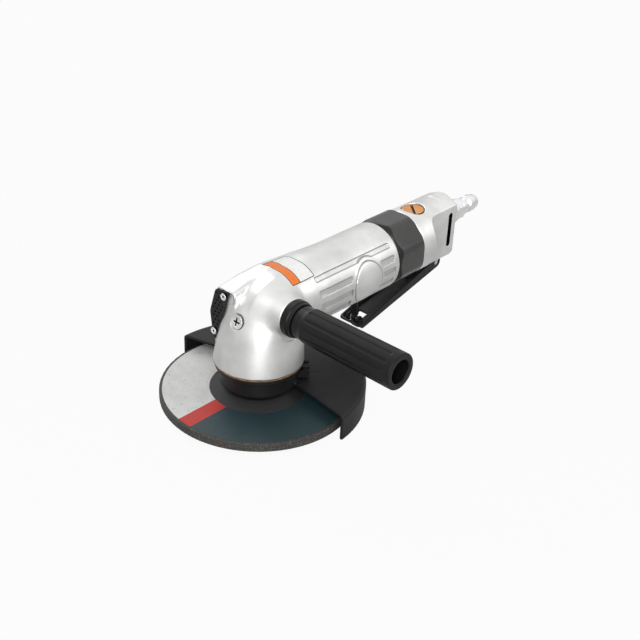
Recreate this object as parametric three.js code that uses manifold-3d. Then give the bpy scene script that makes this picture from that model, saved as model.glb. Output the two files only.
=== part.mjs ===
// Pneumatic angle grinder with a side handle, a half guard and a lock-off throttle lever.
// Millimetres. +Z runs up the spindle, +X runs back along the body to the air inlet and the side handle points
// to -Y. The origin is the middle of the spindle's end face.
import * as THREE from "three";
import { mergeVertices } from "three/addons/utils/BufferGeometryUtils.js";
import Module from "manifold-3d";

const wasm = await Module();
wasm.setup();

// Shared fits
const fitGap = 0.2; // between pieces that are screwed or pressed together
const runGap = 0.3; // between pieces that move past each other
const overrun = 1; // how far a cutting tool runs past the face it opens
const turnSteps = 28; // facets round a large turned piece
const rimSteps = 40; // facets round the disc and the guard
const roomSteps = 20; // facets round a piece or room inside the housings
const smallSteps = 12; // facets round a small piece
const tinySteps = 8; // facets round a screw's shank
const hexSides = 6;

// Grinding disc with a depressed centre
const disc = { radius: 62.5, thickness: 5.5, boreRadius: 11.1, centreRadius: 21.5, slopeRadius: 29.5 };
disc.centreRise = 4.2;
disc.centreThickness = 4.5;
disc.drop = 1; // the work face stands this far below the spindle's end
disc.bottom = -disc.drop;
disc.top = disc.bottom + disc.thickness;
disc.seat = disc.bottom + disc.centreRise; // underside of the raised centre
disc.back = disc.seat + disc.centreThickness; // upper side of the raised centre

// Outer nut and inner flange that clamp the disc
const flangeNut = { radius: 18, thickness: 3.6, pinCircle: 13, pinHoleRadius: 2.2, pinHoles: 4 };
const innerFlange = { radius: 20, thickness: 3, pilotLength: 3.2, chamfer: 0.8 };

// Spindle
const spindle = { threadRadius: 7, shoulderRadius: 9.5, bearingRadius: 7.5, gearSeatRadius: 7.1 };
spindle.neckRadius = 4.5;
spindle.topRadius = 3;
spindle.chamfer = 1;
spindle.shoulderBottom = disc.back + fitGap + innerFlange.thickness + fitGap;

// Bearing cap and gasket under the head, and the height of the head's joint above the spindle's end
const gasket = { thickness: 0.6, overhang: 0.1 };
const cap = { flangeRadius: 27.6, flangeThickness: 3.2, neckRadius: 22, neckLength: 10.9, skirtLength: 11 };
cap.boreRadius = 10;
cap.bottom = spindle.shoulderBottom + innerFlange.chamfer / 2;
cap.top = cap.bottom + cap.neckLength + cap.flangeThickness;

// Gear head of the housing, whose round sections shrink and move towards the barrel as they rise
const head = { bottomRadius: 28.6, height: 55.9, axisRise: 33.4 };
head.bottom = cap.top + fitGap + gasket.thickness + fitGap;
head.top = head.bottom + head.height;
head.sectionHeightShares = [0, 0.24, 0.42, 0.55, 0.67, 0.775, 0.865, 0.935, 0.982];
head.radiusShares = [1, 0.948, 0.898, 0.85, 0.785, 0.685, 0.555, 0.395, 0.19]; // of the bottom radius
head.shiftShares = [0, 0.055, 0.1, 0.155, 0.205, 0.26, 0.31, 0.36, 0.41]; // of the bottom radius
head.threadRadius = 19.5;
head.threadDepth = 11.6;
head.gearRoomRadius = 17.9;
head.neckRoomRadius = 12.4;
head.pinionRoomRadius = 10.5;
head.pinionRoomFront = 10.6;
const motorAxisHeight = head.bottom + head.axisRise; // the rotor's axis above the spindle's end face
head.gearRoomTop = motorAxisHeight - 7;
head.neckRoomBottom = motorAxisHeight - 1;
head.neckRoomTop = motorAxisHeight + 5.4;

// Ball bearings, as bore, outside and width
const lowerBearing = { boreRadius: 7.7, outerRadius: 17.3, width: 11, raceWall: 2.4, shieldInset: 0.5 };
const upperBearing = { boreRadius: 3.2, outerRadius: 7.4, width: 5, raceWall: 1.1, shieldInset: 0.4 };
const rotorBearing = { boreRadius: 4.1, outerRadius: 11, width: 7, raceWall: 1.8, shieldInset: 0.5 };

// Bevel gears
const gears = { module: 1.375, wheelTeeth: 24, pinionTeeth: 12, faceWidth: 5.4, pressureAngle: 20 };
gears.addendumShare = 0.8; // of the module
gears.dedendumShare = 1.1; // of the module
gears.backlash = 0.5;
gears.wheelBackThickness = 3.6;
gears.wheelHubRadius = 11;
gears.wheelHubLength = 5;
gears.pinionHubRadius = 6.6;
gears.pinionHubLength = 2.6;
gears.pinionBoreRadius = 3.6;
const gearKey = { width: 3, height: 3, length: 6, sink: 1.5 };
const gearClip = { thickness: 1.2, outerRadius: 8.2, gap: 4, grip: 0.5 };

// Barrel of the housing, round the motor
const barrel = { front: 8, shoulder: 22, end: 107.5, radius: 23.1, frontRadius: 20, taperEnd: 40 };
barrel.boreRadius = 19.5;
barrel.endChamfer = 1;
barrel.spigotRadius = 20.9;
barrel.spigotLength = 10.5;
barrel.fluteDepth = 0.7;
barrel.fluteWidth = 3.6;
barrel.flutes = [
  { angle: 43, spans: [[32, 101.5]] }, // degrees above the handle's side
  { angle: 19, spans: [[32, 61.5], [89.5, 103]] },
  { angle: -3, spans: [[33, 61], [91, 103]] },
  { angle: -24, spans: [[46, 61.5], [89.5, 103]] },
];

// Exhaust duct on the housing's far side
const duct = { front: -15.8, back: 78, wall: 1.9, portFront: 48, portBack: 66, portHalfHeight: 6 };
duct.side = 26.3;
duct.roomBack = 68;
duct.roomDrop = 18.5; // heights of the hollow's corners from the motor axis
duct.roomShoulder = 3;
duct.roomRise = 7.5;
duct.rootSide = 9; // of its lower edge, inside the barrel
duct.topSide = 3; // of its upper edge, on the barrel's top
duct.bulge = 0.1;
duct.footDrop = 1.8;
duct.crownFall = 2; // from the upper edge to the shoulder
duct.sections = [
  { place: duct.front, drop: 22.5, reach: 0, crown: 15.6, shoulder: 20.6 },
  { place: 0, drop: 22.5, reach: -0.2, crown: 20.6, shoulder: 19.5 },
  { place: 14, drop: 21.8, reach: -0.4, crown: 23.1, shoulder: 17.8 },
  { place: 44, drop: 16, reach: 0, crown: 21.5, shoulder: 17 },
  { place: duct.back, drop: 9.6, reach: 3.8, crown: 16.8, shoulder: 16 },
];

// Perforated exhaust plate and its screws
const grille = { thickness: 1.2, holeRadius: 0.85, holePitch: 3.2, holeSides: 6, holeMargin: 1.4 };
grille.corners = [[19.6, -22.4, 1], [23, -22, 2.5], [25.6, -4, 8], [20.4, 14, 4], [9.4, 13.8, 1]];
const plateScrew = { headRadius: 2.3, headHeight: 1.3, shankRadius: 1.4, length: 8 };
plateScrew.upper = { y: 12.6, z: motorAxisHeight + 10.9 };
plateScrew.lower = { y: 21.4, z: motorAxisHeight - 16.6 };

// Grease plug screw in the front of the head
const frontScrew = { tilt: 15, headRadius: 4.7, headHeight: 1.6, shankRadius: 3, shankLength: 2.2 };
frontScrew.height = motorAxisHeight - 0.8;
frontScrew.recessDepth = 1.2;
frontScrew.slotWidth = 1.2;
frontScrew.slotLength = 5.6;

// Half guard with its clamp collar
const guard = { sheet: 2, discGap: 4, skirtDrop: 3.4, underhang: 0.3, frontX: 9.4, collarHeight: 8.6 };
guard.radius = disc.radius + guard.discGap + guard.sheet;
guard.skirtBottom = disc.bottom - guard.skirtDrop;
guard.plateTop = cap.bottom - guard.underhang + guard.sheet;
guard.collarWall = 2.3;
guard.nearEdgeX = 3.9; // where the front edge meets the rim on the handle's side
guard.farEdgeX = -2.2; // and on the other side
guard.earAngle = -42;
guard.earLength = 7.5;
guard.earThickness = 2.6;
guard.earGap = 3;
guard.boltRadius = 2;
guard.boltHeadRadius = 3.4;
guard.boltHeadHeight = 2.6;
guard.nutThickness = 3;
guard.rimFold = 1;

// Side handle
const handle = { x: 4, seat: -24.8, flangeRadius: 11.9, flangeThickness: 6.9, bossRadius: 11.6 };
handle.height = motorAxisHeight + 4;
handle.bossRootRadius = 17;
handle.bossRoot = -8;
handle.length = 76;
handle.neckLength = 5.5;
handle.neckRadius = 10;
handle.radius = 11.4;
handle.boreRadius = 7.4;
handle.boreDepth = 62;
handle.endChamfer = 1.3;
handle.ribs = 12;
handle.ribWidth = 1.4;
handle.ribHeight = 0.45;
handle.studRadius = 4;
handle.studHeadRadius = 6.4;
handle.studHeadHeight = 6;
handle.studSocketRadius = 3.2;
handle.threadLength = 14;

// Vane motor
const motor = { frontPlate: 8, rearPlate: 10.5, cylinderLength: 58, outerRadius: 19.2, boreRadius: 16.2 };
motor.eccentricity = 1.4;
motor.rotorRadius = 14.5;
motor.shaftRadius = 3.9;
motor.shaftNose = 11.4;
motor.vanes = 5;
motor.slotWidth = 2.3;
motor.slotDepth = 8;
motor.vaneThickness = 1.9;
motor.vaneHeight = 7.3;
motor.shaftHoleRadius = 5.4;
motor.inletRadius = 2;
motor.inletCircle = 12;
motor.inletSpread = 24;
motor.front = barrel.shoulder + fitGap;

// Clamp ring between barrel and rear housing
const ring = { front: 108.2, back: 134, radius: 24.1, apothem: 22.9, sides: 8 };
ring.chamferRadius = 21.8;
ring.chamferLength = 3.2;
ring.boreRadius = 21.2;
ring.lip = 3.2;

// Rear housing with the throttle valve
const rear = { noseRadius: 19.2, flangeRadius: 20.9, neckRadius: 19.2, radius: 22.8, bodyLength: 47.5 };
rear.back = ring.back + rear.bodyLength;
rear.tailHalfWidth = 13;
rear.stepStart = ring.back + 14; // the round body narrows from here
rear.stepEnd = rear.back - 24.5; // to the tail's flat sides here
rear.backBottom = motorAxisHeight - 17;
rear.bottomBack = rear.back - 4;
rear.heelHeight = motorAxisHeight - 21;
rear.bossRadius = 8.8;
rear.bossEndHeight = 10;
rear.bossLength = 9.2;
rear.bossEnd = rear.back + rear.bossLength;
rear.plenumRadius = 15;
rear.plenumDepth = 2.4;
rear.passageRadius = 3.4;
rear.passageDrop = 12.4;
rear.slotWidth = 2.8;
rear.slotDepth = 4;
rear.slotInset = 6.7; // of its middle from the tail's back
rear.slotBottom = motorAxisHeight - 11.5;
rear.slotTop = motorAxisHeight + 14;

// Throttle valve, standing in the rear housing
const valve = { x: ring.back + 13, capRadius: 7.7, capLength: 6.6, rimGap: 0.7, chamberRadius: 6.6 };
valve.capTop = motorAxisHeight + rear.radius - 0.9;
valve.slotWidth = 1.6;
valve.slotDepth = 1.7;
valve.seatRadius = 6.3;
valve.seatBoreRadius = 3.7;
valve.seatBottom = motorAxisHeight - 9.4;
valve.seatLength = 6.2;
valve.poppetRadius = 5.2;
valve.poppetHeight = 3.4;
valve.stemRadius = 1.8;
valve.guideRadius = 2.1;
valve.lowerRoomRadius = 5.4;
valve.lowerRoomBottom = motorAxisHeight - 16.6;
valve.springRadius = 4;
valve.springWire = 0.9;
valve.springTurns = 5;

// Throttle lever and its lock-off catch
const lever = { pivotX: rear.back - 12.5, droop: 12.5, length: 84.5, sheet: 1.8, frontHalfWidth: 10 };
lever.pivotHeight = motorAxisHeight - 24;
lever.rearHalfWidth = 9;
lever.lugRadius = 4.2;
lever.pinRadius = 2;
lever.pinEndGap = 0.4;
lever.bossHalfWidth = 6.6;
lever.bossRadius = 4;
lever.floorEnd = -6.6; // the floor stops short of the boss, so only the two walls reach the pin
lever.pocketFront = -9; // clearance in the rear housing for those walls
lever.wallLengthShares = [0.06, 0.3, 0.55, 0.8, 1]; // of the length, from the pivot forward
lever.wallHeightShares = [0.75, 0.5, 0.35, 0.1, -0.3]; // of the lug's radius, above the pivot
lever.slotHalfWidth = 3.6;
lever.slotFront = 1.8; // floor left in front of the catch's slot
lever.slotLength = 13;
lever.tipRound = 3;
const latch = { inset: 5, above: 1.6, halfWidth: 2.9, tipLength: 12, tailLength: 7.5, thickness: 2.4 };
latch.eyeRadius = 2.5;
latch.pinRadius = 1.1;
latch.earThickness = 1.6;
latch.earHalfLength = 2.6;
latch.eyeHalfWidth = 1.3;
latch.springRadius = 1.75;
latch.springWire = 0.5;
latch.springTurns = 2;

// Air inlet
const inlet = { adapterFlats: 14, collarRadius: 8.2, collarLength: 3, hexLength: 6.6 };
inlet.shankRadius = 5.2;
inlet.shankLength = 12;
inlet.height = motorAxisHeight + 5.5;
inlet.adapterLength = inlet.collarLength + inlet.hexLength;
inlet.boreRadius = 2.6;
inlet.passageRadius = 3.6;
inlet.plugLength = 19.4;
inlet.plugShankLength = 6;
inlet.plugShankRadius = 3.9;
inlet.plugLengthShares = [0, 0.05, 0.22, 0.27, 0.42, 0.48, 0.72, 0.94, 1];
inlet.plugRadii = [5.2, 6.2, 6.2, 4.4, 4.4, 6.2, 6, 5.2, 4.4];

// Surface finishes
const finishes = {
  castAluminium: new THREE.MeshStandardMaterial({ color: 0xc9cacb, roughness: 0.38, metalness: 0.85 }),
  glossGrey: new THREE.MeshStandardMaterial({ color: 0x3a3b3d, roughness: 0.25, metalness: 0.4 }),
  satinBlack: new THREE.MeshStandardMaterial({ color: 0x232325, roughness: 0.5, metalness: 0.3 }),
  blackSteel: new THREE.MeshStandardMaterial({ color: 0x1d1d1f, roughness: 0.45, metalness: 0.6 }),
  blackPlastic: new THREE.MeshStandardMaterial({ color: 0x1b1b1b, roughness: 0.42, metalness: 0 }),
  steel: new THREE.MeshStandardMaterial({ color: 0x9a9c9f, roughness: 0.3, metalness: 1 }),
  chrome: new THREE.MeshStandardMaterial({ color: 0xdfe1e3, roughness: 0.12, metalness: 1 }),
  brass: new THREE.MeshStandardMaterial({ color: 0xd79653, roughness: 0.35, metalness: 0.9 }),
  gasketPaper: new THREE.MeshStandardMaterial({ color: 0xb98b52, roughness: 0.9, metalness: 0 }),
  abrasive: new THREE.MeshStandardMaterial({ color: 0x39342f, roughness: 0.95, metalness: 0 }),
  fibre: new THREE.MeshStandardMaterial({ color: 0x7a5a36, roughness: 0.7, metalness: 0 }),
};

const degree = Math.PI / 180;
const mergeDistance = 1e-4;

// Geometry to solid: shared corners merged, empty triangles dropped, faces turned outwards
function solid(geometry) {
  const bare = new THREE.BufferGeometry().setAttribute("position", geometry.getAttribute("position"));
  bare.setIndex(geometry.index);
  const merged = mergeVertices(bare, mergeDistance);
  const corners = merged.index.array;
  const kept = [];
  for (let i = 0; i < corners.length; i += 3) {
    const [a, b, c] = [corners[i], corners[i + 1], corners[i + 2]];
    if (a !== b && b !== c && c !== a) kept.push(a, b, c);
  }
  const vertProperties = merged.getAttribute("position").array;
  const made = (triangles) =>
    new wasm.Manifold(new wasm.Mesh({ numProp: 3, vertProperties, triVerts: new Uint32Array(triangles) }));
  const first = made(kept);
  if (first.volume() >= 0) return first;
  const turned = [];
  for (let i = 0; i < kept.length; i += 3) turned.push(kept[i], kept[i + 2], kept[i + 1]);
  return made(turned);
}

// Solid back to a geometry with flat-shaded faces
function geometryOf(made) {
  const mesh = made.getMesh();
  const positions = new Float32Array(mesh.numVert * 3);
  for (let i = 0; i < mesh.numVert; i += 1) {
    positions.set(mesh.vertProperties.subarray(i * mesh.numProp, i * mesh.numProp + 3), i * 3);
  }
  const geometry = new THREE.BufferGeometry().setAttribute("position", new THREE.BufferAttribute(positions, 3));
  geometry.setIndex(new THREE.BufferAttribute(mesh.triVerts, 1));
  const flat = geometry.toNonIndexed();
  flat.computeVertexNormals();
  return flat;
}

// Axis frames: a drawing's first, second and depth directions
const axisFrames = {
  x: new THREE.Matrix4().makeBasis(
    new THREE.Vector3(0, 1, 0), new THREE.Vector3(0, 0, 1), new THREE.Vector3(1, 0, 0)),
  y: new THREE.Matrix4().makeBasis(
    new THREE.Vector3(1, 0, 0), new THREE.Vector3(0, 0, 1), new THREE.Vector3(0, 1, 0)),
  z: new THREE.Matrix4(),
};

// Turned about an axis through the origin, from [radius, place] pairs that run round half its section
function turned(axis, section, steps = turnSteps) {
  const points = section.map(([radius, place]) => new THREE.Vector2(radius, place));
  if (section[0][0] > 0 || section.at(-1)[0] > 0) points.push(points[0].clone());
  const lathe = new THREE.LatheGeometry(points, steps).rotateX(Math.PI / 2);
  return solid(lathe.applyMatrix4(axisFrames[axis]));
}

// Round bar or round cutting tool along an axis, with its middle at [first, second] across it
function bar(axis, radius, from, to, middle = [0, 0], steps = smallSteps) {
  const round = new THREE.CylinderGeometry(radius, radius, to - from, steps).rotateX(Math.PI / 2);
  round.translate(middle[0], middle[1], (from + to) / 2);
  return solid(round.applyMatrix4(axisFrames[axis]));
}

// Flat outline pushed along an axis
function extruded(axis, outline, from, to, curveSteps = hexSides) {
  const shape = outline instanceof THREE.Shape ? outline : outlineShape(outline);
  const settings = { depth: to - from, bevelEnabled: false, curveSegments: curveSteps };
  const raw = new THREE.ExtrudeGeometry(shape, settings);
  raw.translate(0, 0, from);
  return solid(raw.applyMatrix4(axisFrames[axis]));
}

function outlineShape(points) {
  return new THREE.Shape(points.map(([u, v]) => new THREE.Vector2(u, v)));
}

function block([x0, x1], [y0, y1], [z0, z1]) {
  const box = new THREE.BoxGeometry(x1 - x0, y1 - y0, z1 - z0);
  return solid(box.translate((x0 + x1) / 2, (y0 + y1) / 2, (z0 + z1) / 2));
}

// Closed skin from its points and triangles
function skinOf(positions, index, frame = axisFrames.z) {
  const skin = new THREE.BufferGeometry();
  skin.setAttribute("position", new THREE.Float32BufferAttribute(positions, 3));
  skin.setIndex(index);
  return solid(skin.applyMatrix4(frame));
}

// Skin over sections of equal count, each an outline at its place along the axis
function lofted(axis, sections) {
  const count = sections[0].outline.length;
  const positions = [];
  for (const { outline, place } of sections) for (const [u, v] of outline) positions.push(u, v, place);
  const index = [];
  for (let s = 0; s + 1 < sections.length; s += 1) {
    for (let i = 0; i < count; i += 1) {
      const next = (i + 1) % count;
      const [a, b, c, d] = [s * count + i, s * count + next, (s + 1) * count + next, (s + 1) * count + i];
      index.push(a, b, c, a, c, d);
    }
  }
  const ends = [sections[0], sections.at(-1)];
  ends.forEach(({ outline }, end) => {
    const base = end * (sections.length - 1) * count;
    const faces = THREE.ShapeUtils.triangulateShape(outline.map(([u, v]) => new THREE.Vector2(u, v)), []);
    for (const [a, b, c] of faces) index.push(base + a, base + (end ? b : c), base + (end ? c : b));
  });
  return skinOf(positions, index, axisFrames[axis]);
}

// Corners [u, v, radius] to an outline whose corners are rounded with equal counts of points
function roundedOutline(corners, steps = 5) {
  const outline = [];
  corners.forEach(([u, v, radius], i) => {
    const here = new THREE.Vector2(u, v);
    const before = new THREE.Vector2(...corners.at(i - 1).slice(0, 2)).sub(here).normalize();
    const after = new THREE.Vector2(...corners[(i + 1) % corners.length].slice(0, 2)).sub(here).normalize();
    const half = before.angleTo(after) / 2;
    const reach = radius / Math.tan(half);
    const start = here.clone().addScaledVector(before, reach);
    const end = here.clone().addScaledVector(after, reach);
    const curve = new THREE.QuadraticBezierCurve(start, here, end);
    for (let s = 0; s <= steps; s += 1) outline.push(curve.getPoint(s / steps).toArray());
  });
  return outline;
}

// A coil of round wire about +Z, wound from its low end to its high one
class CoilCurve extends THREE.Curve {
  constructor(radius, low, high, turns) {
    super();
    Object.assign(this, { radius, low, high, turns });
  }
  getPoint(share) {
    const angle = share * this.turns * 2 * Math.PI;
    const height = this.low + share * (this.high - this.low);
    return new THREE.Vector3(this.radius * Math.cos(angle), this.radius * Math.sin(angle), height);
  }
}

function coil({ radius, wire, low, high, turns, sides = 4, stepsPerTurn = 10 }) {
  const curve = new CoilCurve(radius, low + wire / 2, high - wire / 2, turns);
  const section = new THREE.Shape();
  for (let i = 0; i < sides; i += 1) {
    const angle = (i / sides) * 2 * Math.PI;
    const point = [(wire / 2) * Math.cos(angle), (wire / 2) * Math.sin(angle)];
    if (i) section.lineTo(...point);
    else section.moveTo(...point);
  }
  const path = { steps: Math.round(turns * stepsPerTurn), bevelEnabled: false, extrudePath: curve };
  return solid(new THREE.ExtrudeGeometry(section, path));
}

// Bevel gears, drawn about +Z with the pitch cone's tip at the origin and the teeth beyond it
function bevelSizes(teeth, mateTeeth) {
  const angle = Math.atan(teeth / mateTeeth);
  const pitchRadius = (gears.module * teeth) / 2;
  const coneLength = pitchRadius / Math.sin(angle);
  return { angle, pitchRadius, coneLength, innerShare: (coneLength - gears.faceWidth) / coneLength };
}

// A point of a tooth at a height over the pitch cone, on the gear's large end
function backConePoint(sizes, height, turn) {
  const radius = sizes.pitchRadius + height * Math.cos(sizes.angle);
  const place = sizes.coneLength * Math.cos(sizes.angle) - height * Math.sin(sizes.angle);
  return new THREE.Vector3(radius * Math.cos(turn), radius * Math.sin(turn), place);
}

// Points of one tooth at the gear's large end: up its first flank, over the tip and down the second
function toothOutline(sizes, middle) {
  const virtualRadius = sizes.pitchRadius / Math.cos(sizes.angle);
  const pressure = gears.pressureAngle * degree;
  const baseRadius = virtualRadius * Math.cos(pressure);
  const involute = (angle) => Math.tan(angle) - angle;
  const halfAtPitch = (Math.PI * gears.module) / 4 / virtualRadius - gears.backlash / 4 / virtualRadius;
  const halfAt = (radius) => {
    const onFlank = Math.acos(Math.min(1, baseRadius / radius));
    return (halfAtPitch + involute(pressure) - involute(onFlank)) / Math.cos(sizes.angle);
  };
  const heights = [-gears.dedendumShare * gears.module, 0, gears.addendumShare * gears.module];
  const flank = (side) =>
    heights.map((height) => backConePoint(sizes, height, middle + side * halfAt(virtualRadius + height)));
  return [...flank(-1), ...flank(1).reverse()];
}

// Ring of points round +Z
function circleRing(radius, place, steps = roomSteps) {
  return Array.from({ length: steps }, (_, i) => {
    const angle = (i / steps) * 2 * Math.PI;
    return new THREE.Vector3(radius * Math.cos(angle), radius * Math.sin(angle), place);
  });
}

// Closed skin through rings of points, each sorted by its turn round +Z and of any count
function stitchedRings(rings) {
  const positions = [];
  const index = [];
  const starts = rings.map((ring) => {
    const start = positions.length / 3;
    for (const point of ring) positions.push(...point.toArray());
    return start;
  });
  const turnAt = (ring, i) => {
    const point = ring[i % ring.length];
    const first = Math.atan2(ring[0].y, ring[0].x);
    const turn = Math.atan2(point.y, point.x) - first;
    return first + (i === ring.length ? 2 * Math.PI : (turn + 2 * Math.PI) % (2 * Math.PI));
  };
  rings.forEach((ring, r) => {
    const other = (r + 1) % rings.length;
    const mate = rings[other];
    let [i, j] = [0, 0];
    while (i < ring.length || j < mate.length) {
      const [a, b] = [starts[r] + (i % ring.length), starts[other] + (j % mate.length)];
      const takeRing = j === mate.length || (i < ring.length && turnAt(ring, i + 1) <= turnAt(mate, j + 1));
      if (takeRing) i += 1;
      else j += 1;
      index.push(a, b, takeRing ? starts[r] + (i % ring.length) : starts[other] + (j % mate.length));
    }
  });
  return skinOf(positions, index);
}

// All teeth as one skin from the small end to the large one, then over the back, the hub, the bore and the front
function bevelGear({ teeth, mateTeeth, phase, bore, back }) {
  const sizes = bevelSizes(teeth, mateTeeth);
  const outlines = [];
  for (let i = 0; i < teeth; i += 1) outlines.push(toothOutline(sizes, ((i + phase) / teeth) * 2 * Math.PI));
  const outer = outlines.flat();
  const inner = outer.map((point) => point.clone().multiplyScalar(sizes.innerShare));
  const roots = outlines.flatMap((outline) => [outline[0], outline.at(-1)]);
  const rootRing = (radius, place) => roots.map((point) => point.clone().setZ(0).setLength(radius).setZ(place));
  const front = inner[0].z;
  const backRings = back.slice(1).map(([radius, place]) => circleRing(radius, place));
  return stitchedRings([
    inner, outer, rootRing(...back[0]), ...backRings, circleRing(bore, back.at(-1)[1]),
    circleRing(bore, front), rootRing(Math.hypot(inner[0].x, inner[0].y) - fitGap, front),
  ]);
}

const wheelSizes = bevelSizes(gears.wheelTeeth, gears.pinionTeeth);
const wheelRoot = backConePoint(wheelSizes, -gears.dedendumShare * gears.module, 0);
const wheelBack = wheelRoot.z + gears.wheelBackThickness; // below the apex
const wheelBottom = motorAxisHeight - wheelBack - gears.wheelHubLength;
const wheelTop = motorAxisHeight - wheelRoot.z * wheelSizes.innerShare;
const pinionSizes = bevelSizes(gears.pinionTeeth, gears.wheelTeeth);
const pinionBack = backConePoint(pinionSizes, -gears.dedendumShare * gears.module, 0).z + gears.pinionHubLength;

// Turns a solid drawn about +Z into place: upside down below the apex, or along +X behind it
function placed(made, matrix) {
  return solid(geometryOf(made).applyMatrix4(matrix));
}

function crownGear() {
  const hubEnd = wheelBack + gears.wheelHubLength;
  const drawn = bevelGear({
    teeth: gears.wheelTeeth,
    mateTeeth: gears.pinionTeeth,
    phase: 0,
    bore: spindle.gearSeatRadius + fitGap,
    back: [[wheelRoot.x, wheelBack], [gears.wheelHubRadius, wheelBack], [gears.wheelHubRadius, hubEnd]],
  });
  const flip = new THREE.Matrix4().makeTranslation(0, 0, motorAxisHeight);
  flip.multiply(new THREE.Matrix4().makeRotationX(Math.PI));
  return placed(drawn, flip).subtract(keyBlock(fitGap));
}

function pinionGear() {
  const drawn = bevelGear({
    teeth: gears.pinionTeeth,
    mateTeeth: gears.wheelTeeth,
    phase: 1 / 2,
    bore: gears.pinionBoreRadius,
    back: [[gears.pinionHubRadius, pinionBack - gears.pinionHubLength], [gears.pinionHubRadius, pinionBack]],
  });
  return placed(drawn, new THREE.Matrix4().makeRotationY(Math.PI / 2));
}

function keyBlock(spare = 0) {
  const half = gearKey.width / 2 + spare;
  const inner = spindle.gearSeatRadius - gearKey.sink - spare;
  const outer = spindle.gearSeatRadius + gearKey.height - gearKey.sink + spare;
  const low = wheelBottom + gears.wheelHubLength / 2;
  return block([-outer, -inner], [-half, half], [low - spare, low + gearKey.length + spare]);
}

// Disc, flange and nut
function grindingDisc() {
  return turned("z", [
    [disc.boreRadius, disc.seat], [disc.centreRadius, disc.seat], [disc.slopeRadius, disc.bottom],
    [disc.radius, disc.bottom], [disc.radius, disc.top], [disc.slopeRadius + disc.drop, disc.top],
    [disc.centreRadius, disc.back], [disc.boreRadius, disc.back],
  ], rimSteps);
}

function discFlange() {
  const low = disc.back + fitGap;
  const top = low + innerFlange.thickness;
  const bore = spindle.threadRadius + fitGap;
  const pilot = disc.boreRadius - fitGap;
  return turned("z", [
    [bore, low - innerFlange.pilotLength], [pilot, low - innerFlange.pilotLength], [pilot, low],
    [innerFlange.radius, low], [innerFlange.radius, top - innerFlange.chamfer],
    [innerFlange.radius - innerFlange.chamfer, top], [bore, top],
  ], roomSteps);
}

function discNut() {
  const top = disc.seat - fitGap;
  const low = top - flangeNut.thickness;
  const bore = spindle.threadRadius + fitGap;
  const section = [[bore, low], [flangeNut.radius, low], [flangeNut.radius, top], [bore, top]];
  let nut = turned("z", section, roomSteps);
  for (let i = 0; i < flangeNut.pinHoles; i += 1) {
    const angle = (i / flangeNut.pinHoles) * 2 * Math.PI;
    const middle = [flangeNut.pinCircle * Math.cos(angle), flangeNut.pinCircle * Math.sin(angle)];
    nut = nut.subtract(bar("z", flangeNut.pinHoleRadius, low - overrun, top + overrun, middle, tinySteps));
  }
  return nut;
}

// Spindle group
const lowerBearingBottom = cap.top - cap.flangeThickness / 2;
const upperBearingBottom = head.neckRoomTop + fitGap;

function spindleShaft() {
  const seat = lowerBearingBottom;
  const clipBottom = wheelTop + fitGap;
  const clipTop = clipBottom + gearClip.thickness + fitGap;
  const gripRadius = spindle.gearSeatRadius - gearClip.grip;
  const end = upperBearingBottom + upperBearing.width;
  return turned("z", [
    [0, 0], [spindle.threadRadius - spindle.chamfer, 0], [spindle.threadRadius, spindle.chamfer],
    [spindle.threadRadius, spindle.shoulderBottom], [spindle.shoulderRadius, spindle.shoulderBottom],
    [spindle.shoulderRadius, seat - fitGap], [spindle.bearingRadius, seat - fitGap],
    [spindle.bearingRadius, wheelBottom - fitGap], [spindle.gearSeatRadius, wheelBottom - fitGap],
    [spindle.gearSeatRadius, clipBottom - fitGap], [gripRadius, clipBottom - fitGap], [gripRadius, clipTop],
    [spindle.gearSeatRadius, clipTop], [spindle.gearSeatRadius, clipTop + spindle.chamfer],
    [spindle.neckRadius, clipTop + 2 * spindle.chamfer], [spindle.neckRadius, upperBearingBottom - fitGap],
    [spindle.topRadius, upperBearingBottom - fitGap], [spindle.topRadius, end], [0, end],
  ], smallSteps).subtract(keyBlock(fitGap));
}

function springClip() {
  const low = wheelTop + fitGap;
  const inner = spindle.gearSeatRadius - gearClip.grip + fitGap;
  const band = turned("z", [
    [inner, low], [gearClip.outerRadius, low],
    [gearClip.outerRadius, low + gearClip.thickness], [inner, low + gearClip.thickness],
  ], smallSteps);
  const reach = gearClip.outerRadius + overrun;
  const mouth = [low - overrun, low + gearClip.thickness + overrun];
  return band.subtract(block([0, reach], [-gearClip.gap / 2, gearClip.gap / 2], mouth));
}

// A race is a ring; the outer one carries a shield on both sides that hides the balls
function outerRace(axis, bearing, from) {
  const to = from + bearing.width;
  const shieldRadius = bearing.boreRadius + bearing.raceWall + 2 * runGap;
  const track = bearing.outerRadius - bearing.raceWall;
  const inset = bearing.shieldInset;
  return turned(axis, [
    [track, from], [bearing.outerRadius, from], [bearing.outerRadius, to], [track, to], [track, to - inset],
    [shieldRadius, to - inset], [shieldRadius, from + inset], [track, from + inset],
  ], smallSteps);
}

function innerRace(axis, bearing, from) {
  const to = from + bearing.width;
  const outside = bearing.boreRadius + bearing.raceWall;
  const bore = bearing.boreRadius;
  return turned(axis, [[bore, from], [outside, from], [outside, to], [bore, to]], smallSteps);
}

// Head of the housing: round sections that shrink and move towards the barrel as they rise
function headOutside(grow = 0) {
  const sections = head.sectionHeightShares.map((share, i) => {
    const radius = head.radiusShares[i] * head.bottomRadius + grow;
    const shift = head.shiftShares[i] * head.bottomRadius;
    const outline = [];
    for (let s = 0; s < turnSteps; s += 1) {
      const angle = (s / turnSteps) * 2 * Math.PI;
      outline.push([shift + radius * Math.cos(angle), radius * Math.sin(angle)]);
    }
    return { outline, place: head.bottom + share * head.height };
  });
  return lofted("z", sections);
}

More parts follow.
